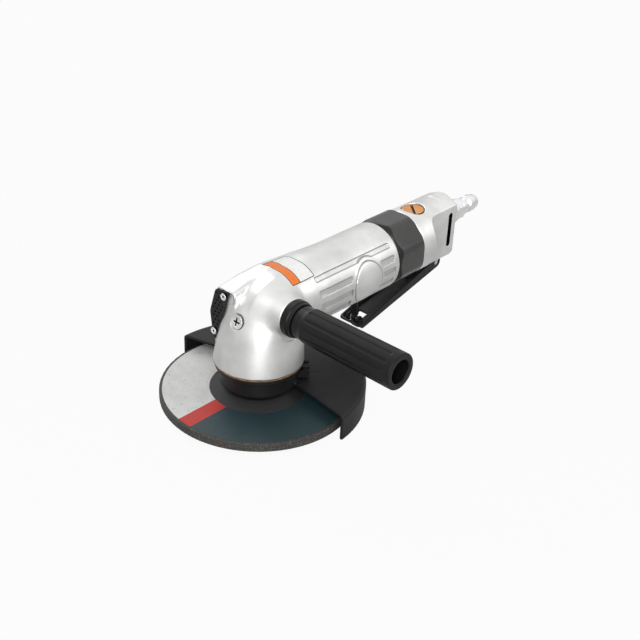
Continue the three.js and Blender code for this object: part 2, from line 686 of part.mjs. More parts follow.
function headInside() {
  const pocketTop = upperBearingBottom + upperBearing.width + fitGap;
  const pocket = upperBearing.outerRadius + fitGap;
  const threadTop = head.bottom + head.threadDepth;
  return turned("z", [
    [0, head.bottom - overrun], [head.threadRadius, head.bottom - overrun], [head.threadRadius, threadTop],
    [head.gearRoomRadius, threadTop], [head.gearRoomRadius, head.gearRoomTop],
    [head.neckRoomRadius, head.neckRoomBottom], [head.neckRoomRadius, head.neckRoomTop],
    [pocket, head.neckRoomTop], [pocket, pocketTop], [0, pocketTop],
  ]);
}

function barrelOutside() {
  const spigotEnd = barrel.end + barrel.spigotLength;
  return turned("x", [
    [0, barrel.front], [barrel.frontRadius, barrel.front], [barrel.radius, barrel.taperEnd],
    [barrel.radius, barrel.end - barrel.endChamfer], [barrel.radius - barrel.endChamfer, barrel.end],
    [barrel.spigotRadius, barrel.end], [barrel.spigotRadius, spigotEnd], [0, spigotEnd],
  ]);
}

// The duct's outline at a place: under its lower edge, up its side and over its shoulder, as [y, z, rounding]
function ductCorners({ drop, reach, crown, shoulder }) {
  const belly = duct.side - duct.bulge - reach;
  return [
    [duct.rootSide, -drop, 1], [belly - 1, -drop - duct.footDrop, 4], [belly, -duct.footDrop, 8],
    [shoulder, crown - duct.crownFall, 5], [duct.topSide, crown, 1],
  ].map(([y, z, radius]) => [y, z + motorAxisHeight, radius]);
}

function ductOutside() {
  return lofted("x", duct.sections.map((section) => (
    { place: section.place, outline: roundedOutline(ductCorners(section), 3) })));
}

// The duct's hollow keeps outside the motor bore and inside the duct's skin
function ductRoom() {
  const inner = barrel.boreRadius + duct.wall;
  const outer = duct.side - duct.wall;
  const axis = motorAxisHeight;
  const round = duct.wall / 4;
  const corners = [
    [inner, -duct.roomDrop], [outer - round, -duct.roomDrop], [outer, -duct.roomShoulder], [inner, duct.roomRise],
  ];
  const outline = roundedOutline(corners.map(([y, z]) => [y, z + axis, round]), 2);
  const room = extruded("x", outline, duct.front - overrun, duct.roomBack);
  const port = block([duct.portFront, duct.portBack], [0, inner + overrun],
    [axis - duct.portHalfHeight, axis + duct.portHalfHeight]);
  return room.add(port);
}

// Shallow flutes along the barrel's near side, left free in the middle
function barrelFlutes() {
  const outer = barrel.radius + overrun;
  const floor = barrel.radius - barrel.fluteDepth;
  return barrel.flutes.flatMap(({ angle, spans }) => spans.map(([from, to]) => {
    const tool = new THREE.BoxGeometry(to - from, outer - floor, barrel.fluteWidth);
    tool.translate((from + to) / 2, -(outer + floor) / 2, 0);
    tool.rotateX(-angle * degree).translate(0, 0, motorAxisHeight);
    return solid(tool);
  }));
}

// Cone that carries the handle's flange
function handleBoss() {
  const cone = new THREE.CylinderGeometry(
    handle.bossRadius, handle.bossRootRadius, handle.bossRoot - handle.seat, turnSteps);
  cone.rotateX(Math.PI);
  return solid(cone.translate(handle.x, (handle.seat + handle.bossRoot) / 2, 0).applyMatrix4(
    new THREE.Matrix4().makeTranslation(0, 0, handle.height)));
}

function frontScrewFrame() {
  const height = frontScrew.height;
  const place = headFrontAt((height - head.bottom) / head.height);
  const frame = new THREE.Matrix4().makeTranslation(place, 0, height);
  return frame.multiply(new THREE.Matrix4().makeRotationY(-Math.PI / 2 + frontScrew.tilt * degree));
}

// Where the head's front lies at a share of its height
function headFrontAt(share) {
  const at = head.sectionHeightShares.findIndex((end) => end >= share);
  const [low, high] = [head.sectionHeightShares[at - 1], head.sectionHeightShares[at]];
  const part = (share - low) / (high - low);
  const front = (i) => (head.shiftShares[i] - head.radiusShares[i]) * head.bottomRadius;
  return front(at - 1) + part * (front(at) - front(at - 1));
}

function motorHousing() {
  const spigotEnd = barrel.end + barrel.spigotLength + overrun;
  let shell = headOutside().add(barrelOutside().translate([0, 0, motorAxisHeight]));
  shell = shell.add(ductOutside()).add(handleBoss());
  const bore = bar("x", barrel.boreRadius, barrel.shoulder, spigotEnd, [0, motorAxisHeight], roomSteps);
  shell = shell.subtract(headInside()).subtract(bore);
  const pinionRoom = bar("x", head.pinionRoomRadius, head.pinionRoomFront, barrel.shoulder + overrun,
    [0, motorAxisHeight], smallSteps);
  shell = shell.subtract(pinionRoom).subtract(ductRoom());
  for (const flute of barrelFlutes()) shell = shell.subtract(flute);
  for (const screw of [plateScrew.upper, plateScrew.lower]) {
    const hole = bar("x", plateScrew.shankRadius + fitGap, duct.front - overrun, duct.front + plateScrew.length,
      [screw.y, screw.z], tinySteps);
    shell = shell.subtract(hole);
  }
  const flangeRoom = bar("y", handle.flangeRadius + fitGap, handle.seat - handle.flangeThickness, handle.seat,
    [handle.x, handle.height], turnSteps);
  shell = shell.subtract(flangeRoom);
  const studEnd = handle.seat + handle.threadLength;
  shell = shell.subtract(bar("y", handle.studRadius + fitGap, handle.seat - overrun, studEnd + fitGap,
    [handle.x, handle.height], smallSteps));
  const screwHole = turned("z", [
    [0, -head.bottomRadius / 2], [frontScrew.shankRadius + fitGap, -head.bottomRadius / 2],
    [frontScrew.shankRadius + fitGap, -frontScrew.recessDepth],
    [frontScrew.headRadius + fitGap, -frontScrew.recessDepth],
    [frontScrew.headRadius + fitGap, frontScrew.headHeight + overrun], [0, frontScrew.headHeight + overrun],
  ], smallSteps);
  return shell.subtract(placed(screwHole, frontScrewFrame()));
}

function frontPlugScrew() {
  const seat = -frontScrew.recessDepth + fitGap;
  const top = seat + frontScrew.headHeight;
  const body = turned("z", [
    [0, seat - frontScrew.shankLength], [frontScrew.shankRadius, seat - frontScrew.shankLength],
    [frontScrew.shankRadius, seat], [frontScrew.headRadius, seat],
    [frontScrew.headRadius, top - frontScrew.headHeight / 3],
    [frontScrew.headRadius - frontScrew.headHeight / 3, top], [0, top],
  ], smallSteps);
  const half = [frontScrew.slotLength / 2, frontScrew.slotWidth / 2];
  const depth = [top - frontScrew.headHeight / 2, top + overrun];
  const cross = block([-half[0], half[0]], [-half[1], half[1]], depth).add(
    block([-half[1], half[1]], [-half[0], half[0]], depth));
  return placed(body.subtract(cross), frontScrewFrame());
}

// Perforated plate over the duct's mouth, cut back from the head, with a field of holes
function exhaustPlate() {
  const lifted = grille.corners.map(([y, z, radius]) => [y, z + motorAxisHeight, radius]);
  const outline = roundedOutline(lifted, 3);
  const from = duct.front - fitGap - grille.thickness;
  const to = duct.front - fitGap;
  const screws = [plateScrew.upper, plateScrew.lower];
  const holes = [];
  const rows = Math.ceil(head.bottomRadius / grille.holePitch);
  const rowStep = (grille.holePitch * Math.sqrt(3)) / 2;
  for (let row = -rows; row <= rows; row += 1) {
    for (let column = 0; column <= rows; column += 1) {
      const y = (column + (row % 2 ? 1 / 2 : 0)) * grille.holePitch;
      const z = motorAxisHeight + row * rowStep;
      const headEdge = headHalfWidthAt((z - head.bottom) / head.height, from);
      const screwReach = plateScrew.headRadius + grille.holeRadius;
      const nearScrew = screws.some((screw) => Math.hypot(screw.y - y, screw.z - z) < screwReach);
      const nearEdge = outlineDistance(outline, y, z) < grille.holeRadius + grille.holeMargin / 2;
      if (nearEdge || !insideOutline(outline, y, z) || y < headEdge + grille.holeMargin || nearScrew) continue;
      holes.push(bar("x", grille.holeRadius, from - overrun, to + overrun, [y, z], grille.holeSides));
    }
  }
  let plate = extruded("x", outline, from, to).subtract(headOutside(runGap));
  plate = plate.subtract(wasm.Manifold.union(holes));
  for (const screw of screws) {
    const radius = plateScrew.shankRadius + fitGap;
    const hole = bar("x", radius, from - overrun, to + overrun, [screw.y, screw.z], tinySteps);
    plate = plate.subtract(hole);
  }
  return largestBody(plate);
}

// Shortest way from a point to an outline's edges
function outlineDistance(outline, u, v) {
  const point = new THREE.Vector3(u, v, 0);
  const nearest = new THREE.Vector3();
  const gaps = outline.map(([u1, v1], i) => {
    const [u2, v2] = outline.at(i - 1);
    const edge = new THREE.Line3(new THREE.Vector3(u1, v1, 0), new THREE.Vector3(u2, v2, 0));
    return edge.closestPointToPoint(point, true, nearest).distanceTo(point);
  });
  return Math.min(...gaps);
}

// Half width of the head, at a share of its height, where the plane x cuts it
function headHalfWidthAt(share, x) {
  const shares = head.sectionHeightShares;
  if (share <= 0 || share >= shares.at(-1)) return 0;
  const at = shares.findIndex((end) => end >= share);
  const part = (share - shares[at - 1]) / (shares[at] - shares[at - 1]);
  const blend = (list) => (list[at - 1] + part * (list[at] - list[at - 1])) * head.bottomRadius;
  const [radius, shift] = [blend(head.radiusShares), blend(head.shiftShares)];
  return Math.sqrt(Math.max(0, radius * radius - (x - shift) * (x - shift)));
}

function insideOutline(outline, u, v) {
  let inside = false;
  outline.forEach(([u1, v1], i) => {
    const [u2, v2] = outline.at(i - 1);
    if (v1 > v !== v2 > v && u < ((u2 - u1) * (v - v1)) / (v2 - v1) + u1) inside = !inside;
  });
  return inside;
}

// The main body of a cut solid, without the slivers a slanting cut leaves
function largestBody(made) {
  return made.decompose().reduce((best, body) => (body.volume() > best.volume() ? body : best));
}

function plateFastener(place) {
  const seat = duct.front - fitGap - grille.thickness - fitGap;
  const round = plateScrew.headHeight / 2;
  return turned("x", [
    [0, seat - plateScrew.headHeight], [plateScrew.headRadius - round, seat - plateScrew.headHeight],
    [plateScrew.headRadius, seat - round], [plateScrew.headRadius, seat], [plateScrew.shankRadius, seat],
    [plateScrew.shankRadius, duct.front + plateScrew.length - fitGap], [0, duct.front + plateScrew.length - fitGap],
  ], tinySteps).translate([0, place.y, place.z]);
}

// Gasket and bearing cap under the head
function headGasket() {
  const top = head.bottom - fitGap;
  const low = top - gasket.thickness;
  const outside = head.bottomRadius + gasket.overhang;
  return turned("z", [[head.threadRadius, low], [outside, low], [outside, top], [head.threadRadius, top]]);
}

function bearingCap() {
  const skirt = head.threadRadius - fitGap;
  const pocket = lowerBearing.outerRadius + fitGap;
  const flangeLow = cap.top - cap.flangeThickness;
  const skirtTop = cap.top + cap.skirtLength;
  return turned("z", [
    [cap.boreRadius, cap.bottom], [cap.neckRadius, cap.bottom], [cap.neckRadius, flangeLow],
    [cap.flangeRadius, flangeLow], [cap.flangeRadius, cap.top], [skirt, cap.top], [skirt, skirtTop],
    [pocket, skirtTop], [pocket, lowerBearingBottom - fitGap], [cap.boreRadius, lowerBearingBottom - fitGap],
  ]);
}

// Guard: a half plate with a skirt round its rim, and a split collar that clamps the bearing cap's neck
function guardEdge(radius) {
  const outside = Math.sqrt(radius * radius - guard.nearEdgeX * guard.nearEdgeX);
  const farSide = Math.sqrt(radius * radius - guard.farEdgeX * guard.farEdgeX);
  return { near: [guard.nearEdgeX, -outside], far: [guard.farEdgeX, farSide] };
}

function guardSector(radius) {
  const { near, far } = guardEdge(radius);
  const collar = cap.neckRadius + runGap + guard.collarWall;
  const inset = Math.sqrt(collar * collar - guard.frontX * guard.frontX);
  const shape = new THREE.Shape();
  shape.moveTo(guard.frontX, -inset);
  shape.lineTo(...near);
  shape.absarc(0, 0, radius, Math.atan2(near[1], near[0]), Math.atan2(far[1], far[0]), false);
  shape.lineTo(guard.frontX, inset);
  shape.closePath();
  return shape;
}

function guardCover() {
  const inner = cap.neckRadius + runGap;
  const outer = inner + guard.collarWall;
  const low = guard.plateTop - guard.sheet;
  const top = guard.plateTop + guard.collarHeight;
  const arcSteps = rimSteps / 2;
  const body = extruded("z", guardSector(guard.radius), guard.skirtBottom, guard.plateTop, arcSteps);
  const room = extruded("z", guardSector(guard.radius - guard.sheet), guard.skirtBottom - overrun, low, arcSteps);
  const innerRadius = guard.radius - guard.sheet;
  const roomFront = block([-guard.radius, guard.frontX + overrun], [-innerRadius, innerRadius],
    [guard.skirtBottom - overrun, low]);
  const swept = turned("z", [
    [0, guard.skirtBottom - overrun], [guard.radius - guard.sheet, guard.skirtBottom - overrun],
    [guard.radius - guard.sheet, low - guard.rimFold], [guard.radius - guard.sheet - guard.rimFold, low], [0, low],
  ], rimSteps);
  const rounded = turned("z", [
    [0, guard.skirtBottom - overrun], [guard.radius, guard.skirtBottom - overrun],
    [guard.radius, guard.plateTop - guard.rimFold], [guard.radius - guard.rimFold, guard.plateTop],
    [0, guard.plateTop],
  ], rimSteps);
  const hollow = room.add(roomFront).intersect(swept);
  const sheet = body.intersect(rounded).subtract(hollow);
  const collar = turned("z", [[inner, low], [outer, low], [outer, top], [inner, top]]);
  const bore = bar("z", inner, low - overrun, guard.plateTop + overrun, [0, 0], turnSteps);
  const cover = sheet.subtract(bore).add(collar);
  return cover.add(guardEars(outer, top)).subtract(guardSplit(outer, top)).subtract(clampHole());
}

// The collar's two ears stand out at the ear angle, with the clamp bolt across them
function atEarAngle(made) {
  return placed(made, new THREE.Matrix4().makeRotationZ(guard.earAngle * degree));
}

function guardEars(outer, top) {
  const half = guard.earGap / 2 + guard.earThickness;
  const low = guard.plateTop - guard.sheet;
  return atEarAngle(block([outer - guard.collarWall / 2, outer + guard.earLength], [-half, half], [low, top]));
}

function guardSplit(outer, top) {
  const half = guard.earGap / 2;
  const reach = outer + guard.earLength + overrun;
  return atEarAngle(block([outer - 2 * guard.collarWall, reach], [-half, half], [guard.plateTop, top + overrun]));
}

const clampHeight = guard.plateTop + guard.collarHeight / 2;
const clampReach = cap.neckRadius + runGap + guard.collarWall + guard.earLength / 2;

function clampHole() {
  const half = guard.earGap / 2 + guard.earThickness + overrun;
  return atEarAngle(bar("y", guard.boltRadius + fitGap, -half, half, [clampReach, clampHeight], tinySteps));
}

function clampBolt() {
  const seat = guard.earGap / 2 + guard.earThickness + fitGap;
  const end = seat + guard.nutThickness + fitGap;
  const middle = [clampReach, clampHeight];
  const shank = bar("y", guard.boltRadius, -seat - guard.boltHeadHeight / 2, end, middle, tinySteps);
  const knob = bar("y", guard.boltHeadRadius, -seat - guard.boltHeadHeight, -seat, middle, hexSides);
  return atEarAngle(shank.add(knob));
}

function clampNut() {
  const seat = guard.earGap / 2 + guard.earThickness + fitGap;
  const nut = bar("y", guard.boltHeadRadius, seat, seat + guard.nutThickness, [clampReach, clampHeight], hexSides);
  const hole = bar("y", guard.boltRadius + fitGap, seat - overrun, seat + guard.nutThickness + overrun,
    [clampReach, clampHeight], tinySteps);
  return atEarAngle(nut.subtract(hole));
}

// Side handle, drawn along +Z from its seat and then laid along -Y
const handleFrame = new THREE.Matrix4()
  .makeTranslation(handle.x, handle.seat - fitGap, handle.height)
  .multiply(new THREE.Matrix4().makeRotationX(Math.PI / 2));

function handleFlange() {
  const bore = handle.studRadius + fitGap;
  const edge = handle.endChamfer / 2;
  return placed(turned("z", [
    [bore, 0], [handle.flangeRadius - edge, 0], [handle.flangeRadius, edge],
    [handle.flangeRadius, handle.flangeThickness - edge], [handle.flangeRadius - edge, handle.flangeThickness],
    [bore, handle.flangeThickness],
  ], 2 * handle.ribs), handleFrame);
}

function handleGrip() {
  const start = handle.flangeThickness + fitGap;
  const neckEnd = start + handle.neckLength;
  const end = start + handle.length;
  const floor = end - handle.boreDepth;
  const chamfer = handle.endChamfer;
  let grip = turned("z", [
    [handle.studRadius + fitGap, start], [handle.neckRadius, start], [handle.neckRadius + chamfer / 2, neckEnd],
    [handle.radius, end - chamfer], [handle.radius - chamfer, end], [handle.boreRadius + chamfer / 2, end],
    [handle.boreRadius, end - chamfer / 2], [handle.boreRadius, floor], [handle.studRadius + fitGap, floor],
  ], 2 * handle.ribs);
  for (let i = 0; i < handle.ribs; i += 1) {
    const groove = new THREE.BoxGeometry(handle.ribHeight * 2, handle.ribWidth, handle.length - neckEnd);
    groove.translate(handle.radius, 0, neckEnd + (handle.length - neckEnd) / 2);
    grip = grip.subtract(solid(groove.rotateZ((i / handle.ribs) * 2 * Math.PI)));
  }
  return placed(grip, handleFrame);
}

function handleStud() {
  const floor = handle.flangeThickness + fitGap + handle.length - handle.boreDepth + fitGap;
  const top = floor + handle.studHeadHeight;
  return placed(turned("z", [
    [0, -handle.threadLength + fitGap], [handle.studRadius, -handle.threadLength + fitGap],
    [handle.studRadius, floor],
    [handle.studHeadRadius, floor], [handle.studHeadRadius, top], [handle.studSocketRadius, top],
    [handle.studSocketRadius, floor + handle.studHeadHeight / 3], [0, floor + handle.studHeadHeight / 3],
  ], smallSteps), handleFrame);
}

// Vane motor, drawn about the X axis and carried by a group at the motor's height
const cylinderFront = motor.front + motor.frontPlate + fitGap;
const cylinderBack = cylinderFront + motor.cylinderLength;
const rearPlateFront = cylinderBack + fitGap;
const rearPlateBack = rearPlateFront + motor.rearPlate;
const frontBearingFront = motor.front + fitGap;
const rearBearingFront = rearPlateBack - rotorBearing.width - fitGap;

function motorPlateFront() {
  const pocket = rotorBearing.outerRadius + fitGap;
  const back = motor.front + motor.frontPlate;
  const pocketEnd = frontBearingFront + rotorBearing.width;
  return turned("x", [
    [pocket, motor.front], [motor.outerRadius, motor.front], [motor.outerRadius, back],
    [motor.shaftHoleRadius, back], [motor.shaftHoleRadius, pocketEnd + fitGap], [pocket, pocketEnd + fitGap],
  ], roomSteps);
}

function motorPlateRear() {
  const pocket = rotorBearing.outerRadius + fitGap;
  let plate = turned("x", [
    [motor.shaftHoleRadius, rearPlateFront], [motor.outerRadius, rearPlateFront], [motor.outerRadius, rearPlateBack],
    [pocket, rearPlateBack], [pocket, rearBearingFront - fitGap], [motor.shaftHoleRadius, rearBearingFront - fitGap],
  ], roomSteps);
  for (const side of [-1, 0, 1]) {
    const angle = (90 + side * motor.inletSpread) * degree;
    const radius = (rotorBearing.outerRadius + motor.outerRadius) / 2;
    const middle = [-radius * Math.sin(angle), radius * Math.cos(angle)];
    const port = bar("x", motor.inletRadius, rearPlateFront - overrun, rearPlateBack + overrun, middle, tinySteps);
    plate = plate.subtract(port);
  }
  return plate;
}

function motorCylinder() {
  const liner = bar("x", motor.outerRadius, cylinderFront, cylinderBack, [0, 0], roomSteps);
  const ends = [cylinderFront - overrun, cylinderBack + overrun];
  const bore = bar("x", motor.boreRadius, ...ends, [0, motor.eccentricity], roomSteps);
  const port = block([duct.portFront + overrun, duct.portBack - overrun], [0, motor.outerRadius + overrun],
    [-duct.portHalfHeight + overrun, duct.portHalfHeight - overrun]);
  return liner.subtract(bore).subtract(port);
}

function vaneSlot(i, width, from, to, low, high) {
  const slot = new THREE.BoxGeometry(to - from, width, high - low).translate((from + to) / 2, 0, (low + high) / 2);
  return solid(slot.rotateX((i / motor.vanes) * 2 * Math.PI));
}

function motorRotor() {
  const front = cylinderFront + runGap;
  const back = cylinderBack - runGap;
  const shaftEnd = rearBearingFront + rotorBearing.width;
  const step = gears.pinionBoreRadius - fitGap;
  let rotor = turned("x", [
    [0, motor.shaftNose], [step, motor.shaftNose], [step, pinionBack + fitGap],
    [motor.shaftRadius, pinionBack + fitGap],
    [motor.shaftRadius, front], [motor.rotorRadius, front], [motor.rotorRadius, back], [motor.shaftRadius, back],
    [motor.shaftRadius, shaftEnd], [0, shaftEnd],
  ], roomSteps);
  for (let i = 0; i < motor.vanes; i += 1) {
    rotor = rotor.subtract(vaneSlot(i, motor.slotWidth, front - overrun, back + overrun,
      motor.rotorRadius - motor.slotDepth, motor.rotorRadius + overrun));
  }
  return rotor;
}

function motorVane(i) {
  const top = motor.rotorRadius - fitGap;
  return vaneSlot(i, motor.vaneThickness, cylinderFront + runGap, cylinderBack - runGap, top - motor.vaneHeight, top);
}

// Eight-sided clamp ring with a turned rear edge and a chamfered front
function clampRing() {
  const flats = [];
  for (let i = 0; i < ring.sides; i += 1) {
    const angle = ((i + 1 / 2) / ring.sides) * 2 * Math.PI;
    const corner = ring.apothem / Math.cos(Math.PI / ring.sides);
    flats.push([corner * Math.cos(angle), corner * Math.sin(angle)]);
  }
  const edge = ring.chamferLength / 4;
  const outside = turned("x", [
    [0, ring.front], [ring.chamferRadius, ring.front], [ring.radius, ring.front + ring.chamferLength],
    [ring.radius, ring.back - edge], [ring.radius - edge, ring.back], [0, ring.back],
  ], turnSteps);
  const bore = turned("x", [
    [0, ring.front - overrun], [ring.boreRadius, ring.front - overrun], [ring.boreRadius, ring.back - ring.lip],
    [rear.neckRadius + fitGap, ring.back - ring.lip], [rear.neckRadius + fitGap, ring.back + overrun],
    [0, ring.back + overrun],
  ]);
  return outside.intersect(extruded("x", flats, ring.front, ring.back)).subtract(bore);
}

// Rear housing: turned nose and body, trimmed to its side view, narrowed to a tail, with the lever's boss
function rearSideView() {
  const axis = motorAxisHeight;
  const reach = rear.radius + overrun;
  const view = [
    [motor.front, axis - reach], [rear.bottomBack, axis - reach], [rear.bottomBack, rear.heelHeight],
    [rear.back, rear.backBottom], [rear.back, axis + reach], [motor.front, axis + reach],
  ];
  return extruded("y", view, -reach, reach);
}

// Boss round the air inlet: its top slopes down from the tail's top to the inlet's collar
function inletBoss() {
  const rootTop = motorAxisHeight + rear.radius - inlet.height;
  const section = (place, top) => {
    const outline = [];
    for (let i = 0; i < turnSteps; i += 1) {
      const angle = (i / turnSteps) * 2 * Math.PI;
      const rise = Math.sin(angle) > 0 ? top : rear.bossRadius;
      outline.push([rear.bossRadius * Math.cos(angle), inlet.height + rise * Math.sin(angle)]);
    }
    return { outline, place };
  };
  const slope = [section(rear.back - overrun, rootTop), section(rear.bossEnd, rear.bossEndHeight)];
  return lofted("x", slope);
}

function tailCut(side) {
  const outer = rear.radius + overrun;
  const inner = rear.tailHalfWidth;
  const shape = new THREE.Shape();
  shape.moveTo(rear.stepStart - overrun, side * outer);
  shape.lineTo(rear.stepStart, side * rear.radius);
  shape.quadraticCurveTo(rear.stepStart, side * inner, rear.stepEnd, side * inner);
  shape.lineTo(rear.back + overrun, side * inner);
  shape.lineTo(rear.back + overrun, side * outer);
  shape.closePath();
  return extruded("z", shape, 0, motorAxisHeight + 2 * rear.radius, tinySteps);
}

function leverBoss() {
  const top = motorAxisHeight - rear.radius / 2;
  const neck = block([lever.pivotX - lever.bossRadius, lever.pivotX + lever.bossRadius],
    [-lever.bossHalfWidth, lever.bossHalfWidth], [lever.pivotHeight, top]);
  return neck.add(bar("y", lever.bossRadius, -lever.bossHalfWidth, lever.bossHalfWidth,
    [lever.pivotX, lever.pivotHeight], smallSteps));
}

// Room beside the boss for the lever's two walls
function leverPocket() {
  const half = lever.rearHalfWidth + runGap;
  const reach = lever.lugRadius + 2 * runGap;
  const length = [lever.pivotX + lever.pocketFront, lever.pivotX + reach];
  return block(length, [-half, half], [0, lever.pivotHeight + reach]);
}

function rearHousing() {
  const axis = motorAxisHeight;
  const noseFront = rearPlateBack + fitGap;
  const noseEnd = barrel.end + barrel.spigotLength + fitGap;
  const neckFront = ring.back - ring.lip - fitGap;
  const bodyFront = ring.back + fitGap;
  let made = turned("x", [
    [0, noseFront], [rear.noseRadius, noseFront], [rear.noseRadius, noseEnd], [rear.flangeRadius, noseEnd],
    [rear.flangeRadius, neckFront], [rear.neckRadius, neckFront], [rear.neckRadius, bodyFront],
    [rear.radius, bodyFront], [rear.radius, rear.back], [0, rear.back],
  ]).translate([0, 0, axis]);
  made = made.intersect(rearSideView()).subtract(tailCut(1)).subtract(tailCut(-1));
  made = made.subtract(leverPocket()).add(leverBoss()).add(inletBoss());
  const plenum = bar("x", rear.plenumRadius, noseFront - overrun, noseFront + rear.plenumDepth, [0, axis]);
  const passage = bar("x", rear.passageRadius, noseFront, valve.x, [0, axis - rear.passageDrop]);
  const inletEnd = rear.bossEnd - inlet.shankLength;
  const entry = bar("x", inlet.shankRadius + fitGap, inletEnd - fitGap, rear.bossEnd + overrun, [0, inlet.height]);
  const feed = bar("x", inlet.passageRadius, valve.x, inletEnd, [0, inlet.height]);
  const pin = bar("y", lever.pinRadius + fitGap, -lever.bossHalfWidth - overrun, lever.bossHalfWidth + overrun,
    [lever.pivotX, lever.pivotHeight]);
  for (const tool of [plenum, passage, entry, feed, pin, valveRoom(), tailSlot(1), tailSlot(-1)]) {
    made = made.subtract(tool);
  }
  return made;
}

function valveRoom() {
  const guideEnd = lever.pivotHeight / 2;
  const capBottom = valve.capTop - valve.capLength - fitGap;
  const room = turned("z", [
    [0, guideEnd], [valve.guideRadius, guideEnd], [valve.guideRadius, valve.lowerRoomBottom],
    [valve.lowerRoomRadius, valve.lowerRoomBottom], [valve.lowerRoomRadius, valve.seatBottom - fitGap],
    [valve.chamberRadius, valve.seatBottom - fitGap], [valve.chamberRadius, capBottom],
    [valve.capRadius + fitGap, capBottom],
    [valve.capRadius + fitGap, valve.capTop - valve.slotDepth],
    [valve.capRadius + valve.rimGap, valve.capTop - valve.slotDepth],
    [valve.capRadius + valve.rimGap, motorAxisHeight + 2 * rear.radius], [0, motorAxisHeight + 2 * rear.radius],
  ], roomSteps);
  return room.translate([valve.x, 0, 0]);
}

function tailSlot(side) {
  const inner = side * (rear.tailHalfWidth - rear.slotDepth);
  const outer = side * (rear.tailHalfWidth + overrun);
  const half = rear.slotWidth / 2;
  const middle = rear.back - rear.slotInset;
  return block([middle - half, middle + half], [Math.min(inner, outer), Math.max(inner, outer)],
    [rear.slotBottom, rear.slotTop]);
}

// Throttle valve pieces, drawn about +Z and carried by a group over the lever
function valveCap() {
  const low = valve.capTop - valve.capLength;
  const body = bar("z", valve.capRadius, low, valve.capTop, [0, 0], roomSteps);
  const reach = valve.capRadius + overrun;
  const half = valve.slotWidth / 2;
  const slot = block([-half, half], [-reach, reach], [valve.capTop - valve.slotDepth, valve.capTop + overrun]);
  return body.subtract(slot);
}

function valveSeat() {
  const top = valve.seatBottom + valve.seatLength;
  return turned("z", [
    [valve.seatBoreRadius, valve.seatBottom], [valve.seatRadius, valve.seatBottom], [valve.seatRadius, top],
    [valve.seatBoreRadius, top],
  ], smallSteps);
}

const poppetBottom = valve.seatBottom + valve.seatLength + fitGap;

function valvePoppet() {
  const top = poppetBottom + valve.poppetHeight;
  const rim = poppetBottom + valve.poppetHeight / 2;
  const spigot = valve.springRadius - valve.springWire;
  return turned("z", [
    [0, poppetBottom], [valve.poppetRadius, poppetBottom], [valve.poppetRadius, rim],
    [spigot, rim + fitGap], [spigot, top], [0, top],
  ], smallSteps);
}

// Height of the lever's upper face under the valve, at rest
const leverFloorUnderValve = lever.pivotHeight - (lever.pivotX - valve.x) * Math.tan(lever.droop * degree)
  - (lever.lugRadius - lever.sheet) / Math.cos(lever.droop * degree);

function valveStem() {
  const low = leverFloorUnderValve + runGap + valve.stemRadius * Math.tan(lever.droop * degree);
  const tip = valve.stemRadius / 2;
  return turned("z", [
    [0, low], [tip, low], [valve.stemRadius, low + tip], [valve.stemRadius, poppetBottom - fitGap],
    [0, poppetBottom - fitGap],
  ], tinySteps);
}

function valveSpring() {
  const low = poppetBottom + valve.poppetHeight / 2 + 2 * fitGap;
  const high = valve.capTop - valve.capLength - fitGap;
  return coil({ radius: valve.springRadius, wire: valve.springWire, low, high, turns: valve.springTurns });
}

// Lever, drawn with its pivot at the origin and its body along -X
function leverSideView() {
  const shape = new THREE.Shape();
  const floor = -lever.lugRadius;
  shape.moveTo(lever.tipRound - lever.length, floor);
  shape.lineTo(0, floor);
  shape.absarc(0, 0, lever.lugRadius, -Math.PI / 2, Math.PI / 2, false);
  lever.wallLengthShares.forEach((share, i) => {
    shape.lineTo(-share * lever.length, lever.wallHeightShares[i] * lever.lugRadius);
  });
  shape.lineTo(-lever.length, floor + lever.sheet);
  shape.closePath();
  return shape;
}

function leverPlanView(inset) {
  const front = lever.frontHalfWidth - inset;
  const back = lever.rearHalfWidth - inset;
  const round = lever.tipRound;
  const tip = -lever.length + inset;
  const end = lever.lugRadius + overrun;
  const shape = new THREE.Shape();
  shape.moveTo(end, -back);
  shape.lineTo(end, back);
  shape.lineTo(tip + round, front);
  shape.quadraticCurveTo(tip, front, tip, front - round);
  shape.lineTo(tip, -front + round);
  shape.quadraticCurveTo(tip, -front, tip + round, -front);
  shape.closePath();
  return shape;
}

function throttleLever() {
  const tall = lever.length / 2;
  const width = lever.frontHalfWidth + overrun;
  const outside = extruded("z", leverPlanView(0), -tall, tall).intersect(
    extruded("y", leverSideView(), -width, width, tinySteps));
  const inside = extruded("z", leverPlanView(lever.sheet), -lever.lugRadius + lever.sheet, tall).add(
    block([lever.floorEnd, lever.lugRadius + overrun],
      [-lever.rearHalfWidth + lever.sheet, lever.rearHalfWidth - lever.sheet], [-tall, tall]));
  const slotFront = lever.slotFront - lever.length;
  const mouth = block([slotFront, slotFront + lever.slotLength], [-lever.slotHalfWidth, lever.slotHalfWidth],
    [-tall, tall]);
  const hole = bar("y", lever.pinRadius + fitGap, -width, width);
  return outside.subtract(inside).subtract(mouth).add(latchEars()).subtract(hole).subtract(latchPinHole());
}

// Ears on both sides of the slot carry the catch's pin
const latchAxis = { x: latch.inset - lever.length, z: -lever.lugRadius + lever.sheet + latch.above };

function latchEars() {
  const floor = -lever.lugRadius + lever.sheet / 2;
  const outer = lever.slotHalfWidth + latch.earThickness;
  const both = [-1, 1].map((side) => {
    const span = [side * lever.slotHalfWidth, side * outer].sort((a, b) => a - b);
    const length = [latchAxis.x - latch.earHalfLength, latchAxis.x + latch.earHalfLength];
    const foot = block(length, span, [floor, latchAxis.z]);
    return foot.add(bar("y", latch.earHalfLength, ...span, [latchAxis.x, latchAxis.z], tinySteps));
  });
  return both[0].add(both[1]);
}

